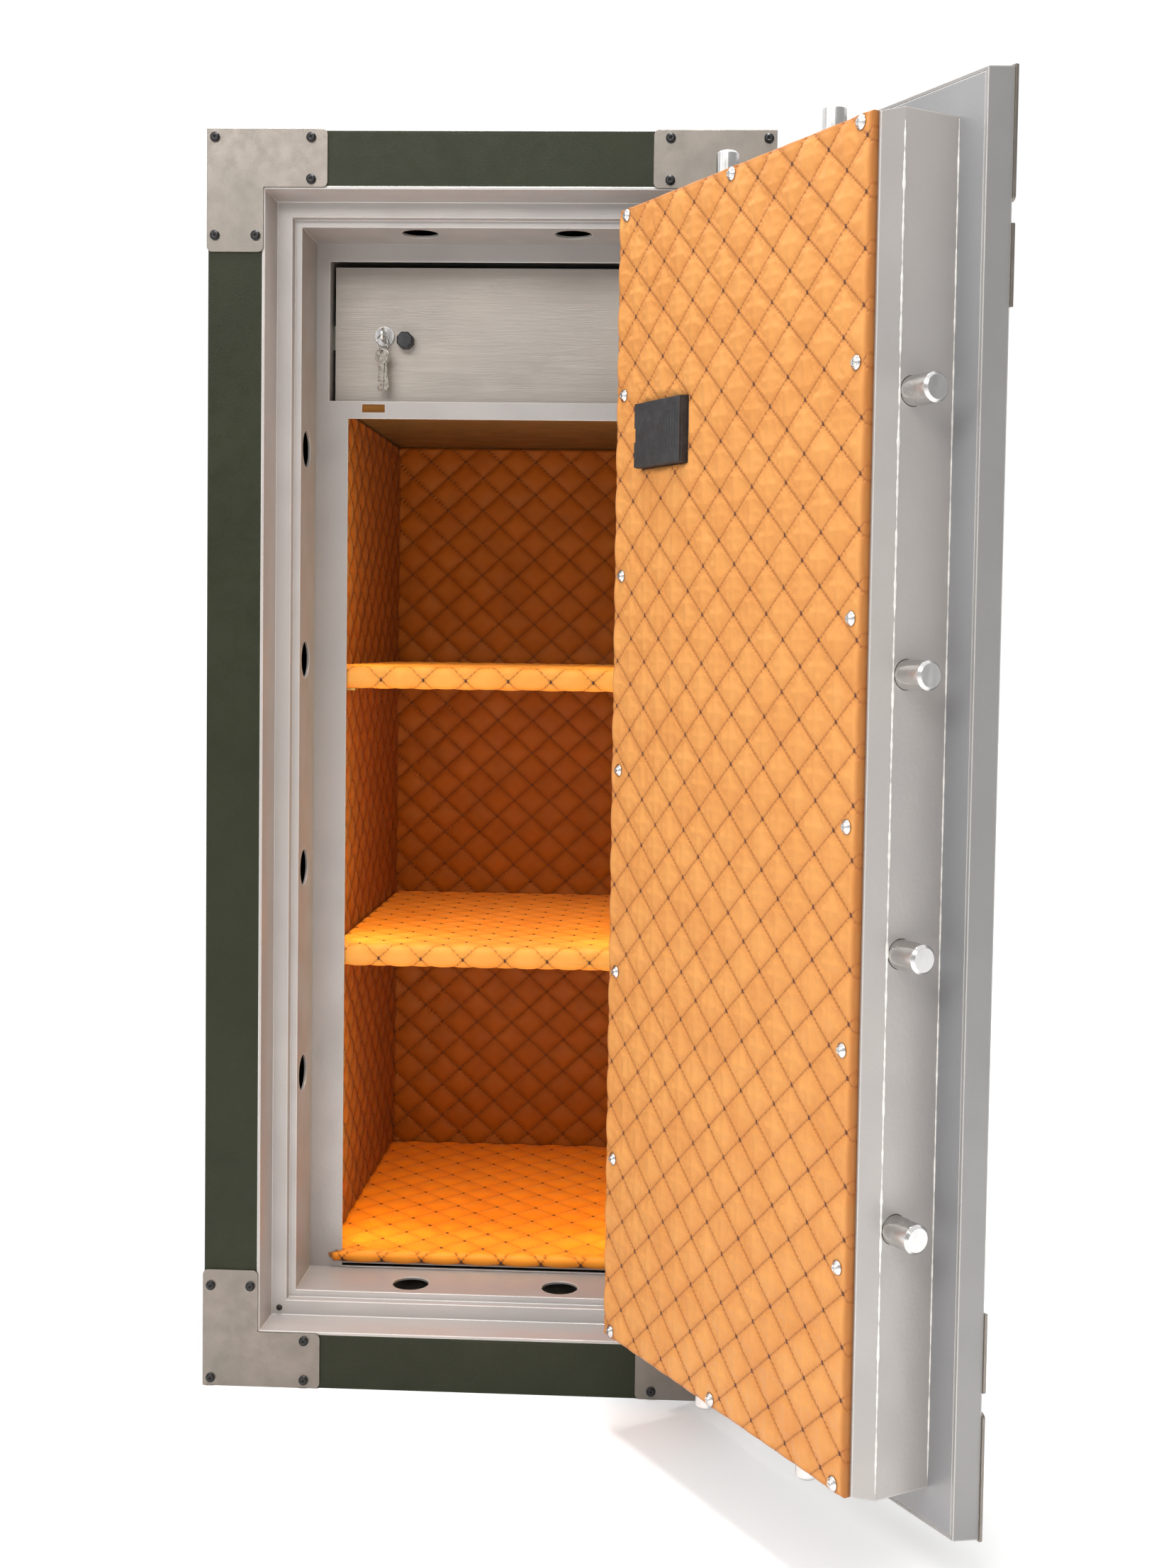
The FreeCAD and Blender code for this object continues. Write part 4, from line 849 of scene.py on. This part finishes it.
def make_liner(materials):
    """The door's lining: a board wrapped in quilting, held by screws, with a window for the battery box."""
    directions = (ALONG, UP, INWARD)
    low, high = reach("liner_pad", directions, HINGE)
    board_low, _ = reach("liner_board", directions, HINGE)
    grow = 0.6 * MM
    size = (high[0] - low[0] + 2 * grow, high[1] - low[1] + 2 * grow)
    origin = HINGE + ALONG * (low[0] - grow) + UP * (low[1] - grow) + INWARD * float(board_low[2])
    thick = high[2] - board_low[2]
    screws = []
    for points in islands(NODES["liner_screws"]):
        at_screw = (points - np.array(origin)) @ np.array(directions).T
        middle = (at_screw.min(0) + at_screw.max(0)) / 2
        screws.append((middle[0], middle[1], thick - 4.2 * MM))
    screws = sorted(set((round(a, 4), round(b, 4), low_h) for a, b, low_h in screws))
    lid_low, lid_high = reach("battery_box", directions, origin)
    window = (lid_low[0] - 0.5 * MM, lid_high[0] + 0.5 * MM, lid_low[1] - 0.5 * MM, lid_high[1] + 0.5 * MM)
    quilt = Quilt(size, (0.1965, 0.7642), DOOR_HALF, thick - 4.6 * MM, thick - 0.1 * MM, 0.5 * thick,
                  4.5 * MM, 7, dimples=screws)
    flat_pad("liner_quilt", "door", ("liner_pad", "liner_board"), quilt,
             (origin, ALONG, UP, INWARD), 8, materials, sewn=(5, 8), cap=4 * MM, hole=window)


def make_cell_pads(materials, shelf_materials, floor_materials):
    """The quilted back, sides, floor and shelves of the cabinet."""
    low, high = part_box("pad_back")
    thick = high.y - low.y
    size = (high.x - low.x, high.z - low.z)
    quilt = Quilt(size, (0.051, 0.9537), CELL_HALF, 2.2 * MM, thick, 1.5 * MM, 4 * MM, 11)
    flat_pad("back_quilt", "safe_body", ("pad_back",), quilt,
             ((low.x, high.y, low.z), (1, 0, 0), (0, 0, 1), (0, -1, 0)), 6, materials, sewn=(4, 6))
    for number, points in enumerate(islands(NODES["side_pads"])):
        low, high = box_of(points)
        thick = high.x - low.x
        quilt = Quilt((high.y - low.y, high.z - low.z), (0.050, 0.254), SIDE_HALF, thick - 3.4 * MM, thick,
                      4 * MM, 5 * MM, 13 + number)
        side, wall_x, out_x = (("left", low.x, 1), ("right", high.x, -1))[number]
        flat_pad(f"{side}_quilt", "safe_body", ("side_pads",), quilt,
                 ((wall_x, low.y, low.z), (0, 1, 0), (0, 0, 1), (out_x, 0, 0)), 6, materials, sewn=(4, 6))
    # Each cover is a hollow shell, so its outer and inner faces are two islands: the outer ones are wanted.
    shells = sorted(islands(NODES["shelf_covers"]), key=lambda p: -np.ptp(p, axis=0).prod())[:2]
    stand = 3.3 * MM
    for number, points in enumerate(sorted(shells, key=lambda p: p[:, 2].min())):
        low, high = box_of(points)
        profile = wrap_profile(low.y + stand, high.y - stand, low.z + stand, high.z - stand, 6 * MM, 1 * MM)
        run, depth, level, _ = profile
        around = float(run[-1])
        half_up = (low.z + high.z) / 2
        middle = float(run[np.argmin(np.hypot(depth - low.y - stand, level - half_up))])
        front_middle = middle + half_up - float(np.interp(middle, run, level))
        quilt = Quilt((high.x - low.x, around), (0.0535, front_middle - 3 * MM), CELL_HALF, 1.0 * MM, stand,
                      0.8 * MM, 3.5 * MM, 17 + number, open_edges=(1, 0))
        wrapped_pad(f"{('lower', 'upper')[number]}_shelf_quilt", "safe_body", ("shelf_covers", "shelf_boards"),
                    quilt, profile, low.x, high.x, 6, shelf_materials)
    make_floor_pad(floor_materials)


def make_floor_pad(materials):
    """The floor's pad: a lip before the cavity's face sheet, a throat through its opening, and the rest."""
    low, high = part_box("pad_floor")
    face_low, face_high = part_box("cavity_face")
    stand = 3.2 * MM
    near, clear = 0.3 * MM, 0.8 * MM
    turn_y = np.array([low.y - 1, face_low.y - clear, face_low.y - near, face_high.y + near,
                       face_high.y + clear, high.y + 1])
    wide = high.x - low.x
    lip_wide, throat_wide = 378 * MM, 354.2 * MM
    spread = (turn_y, np.array([lip_wide, lip_wide, throat_wide, throat_wide, wide, wide]))
    profile = wrap_profile(low.y + stand, high.y - stand, low.z + stand, high.z - stand, 3.6 * MM, 1 * MM,
                           extra=turn_y[1:-1])
    around = float(profile[0][-1])
    front = float(profile[0][np.argmin(profile[1])])
    quilt = Quilt((wide, around), (0.1135, front + 0.053), FLOOR_HALF, 0.9 * MM, stand, 0.7 * MM,
                  3.5 * MM, 23, open_edges=(1, 0))
    wrapped_pad("floor_quilt", "safe_body", ("pad_floor",), quilt, profile, low.x, high.x, 6, materials,
                spread=spread)


def make_bead(name, body, start, end, thick, seed, material):
    """A lumpy line of weld and paint along an inside corner or an edge."""
    chance = np.random.default_rng(seed)
    long = (end - start).length
    count, sides = max(int(long / (2.2 * MM)), 8), 8
    t = np.linspace(0, 1, count)
    lumps = sum(np.sin(math.tau * (long * f * t + chance.random())) * g
                for f, g in ((9, 0.16), (23, 0.2), (51, 0.16), (117, 0.14)))
    radius = thick * np.clip(0.72 + lumps, 0.28, 1.5) * np.minimum(1, np.minimum(t, 1 - t) * 40 + 0.15)
    way = np.array((end - start).normalized())
    one = np.cross(way, (0.31, 0.52, 0.79))
    one /= np.linalg.norm(one)
    two = np.cross(way, one)
    turn = np.arange(sides) * math.tau / sides
    ring = np.cos(turn)[:, None] * one + np.sin(turn)[:, None] * two
    centre = np.array(start) + t[:, None] * np.array(end - start)
    rough = 1 + 0.18 * chance.random((count, sides, 1))
    points = centre[:, None] + ring[None] * radius[:, None, None] * rough
    index = np.arange(count * sides).reshape(count, sides)
    after = np.roll(index, -1, axis=1)
    quads = np.stack([index[:-1], after[:-1], after[1:], index[1:]], -1).reshape(-1, 4)
    piece = build(name, points, quads, material)
    close_back(piece, None)
    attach(piece, body)


def make_beads(material):
    """Welds under the paint: along the door box's corner and its root on the plate."""
    low, high = reach("door_box", (ALONG, INWARD, UP), HINGE)
    plate_high = reach("door_back_plate", (ALONG, INWARD, UP), HINGE)[1]
    edge, foot, top = float(low[0]), float(low[2]) + 2 * MM, float(high[2]) - 2 * MM
    shoulder, root = float(high[1]) - 21.5 * MM, float(plate_high[1]) + 0.2 * MM
    for name, along, inward, thick, seed in (("corner_bead", edge + 0.35 * MM, shoulder, 1.3 * MM, 3),
                                             ("root_bead", edge - 0.1 * MM, root, 0.9 * MM, 5)):
        start, end = (HINGE + ALONG * along + INWARD * inward + UP * up for up in (foot, top))
        make_bead(name, "door", start, end, thick, seed, material)


def main():
    set_camera()
    set_light()
    light_inside()
    make_floor()
    dress_parts()
    cloth = leatherette("quilted_leatherette", (202, 140, 74), (186, 118, 56), (140, 76, 28)).material
    # Painted shade: the cavity's walls get a much darker copy of the interior cloth.
    wall_cloth = leatherette("wall_leatherette_painted_shade", (134, 71, 7), (110, 54, 4), (64, 29, 3)).material
    floor_cloth = leatherette("floor_leatherette", (238, 150, 40), (226, 128, 26), (150, 80, 16)).material
    shelf_cloth = leatherette("shelf_leatherette", (238, 164, 74), (226, 142, 54), (156, 88, 28)).material
    knots = thread("knot_thread", (88, 42, 18)).material
    yarns = (thread("sewing_thread", (150, 92, 42)).material, knots)
    # Painted shade: a darker copy of the sewing thread for the walls.
    wall_yarns = (thread("wall_thread", (100, 46, 8)).material, knots)
    make_liner((cloth, yarns))
    make_cell_pads((wall_cloth, wall_yarns), (shelf_cloth, yarns), (floor_cloth, yarns))
    # Painted highlight: the weld beads are coloured near white, far lighter than the silver paint over them.
    bead_highlight_paint = Finish("bead_paint_painted_highlight", (226, 222, 216), metallic=0.2, roughness=0.25)
    bead_highlight_paint.tint(bead_highlight_paint.fit(bead_highlight_paint.noise(60, 3), 0.4, 0.7, 0, 0.5), (190, 186, 182))
    bead_highlight_paint.relief(bead_highlight_paint.noise(500, 2), 0.0004, 0.6)
    make_beads(bead_highlight_paint.material)


main()
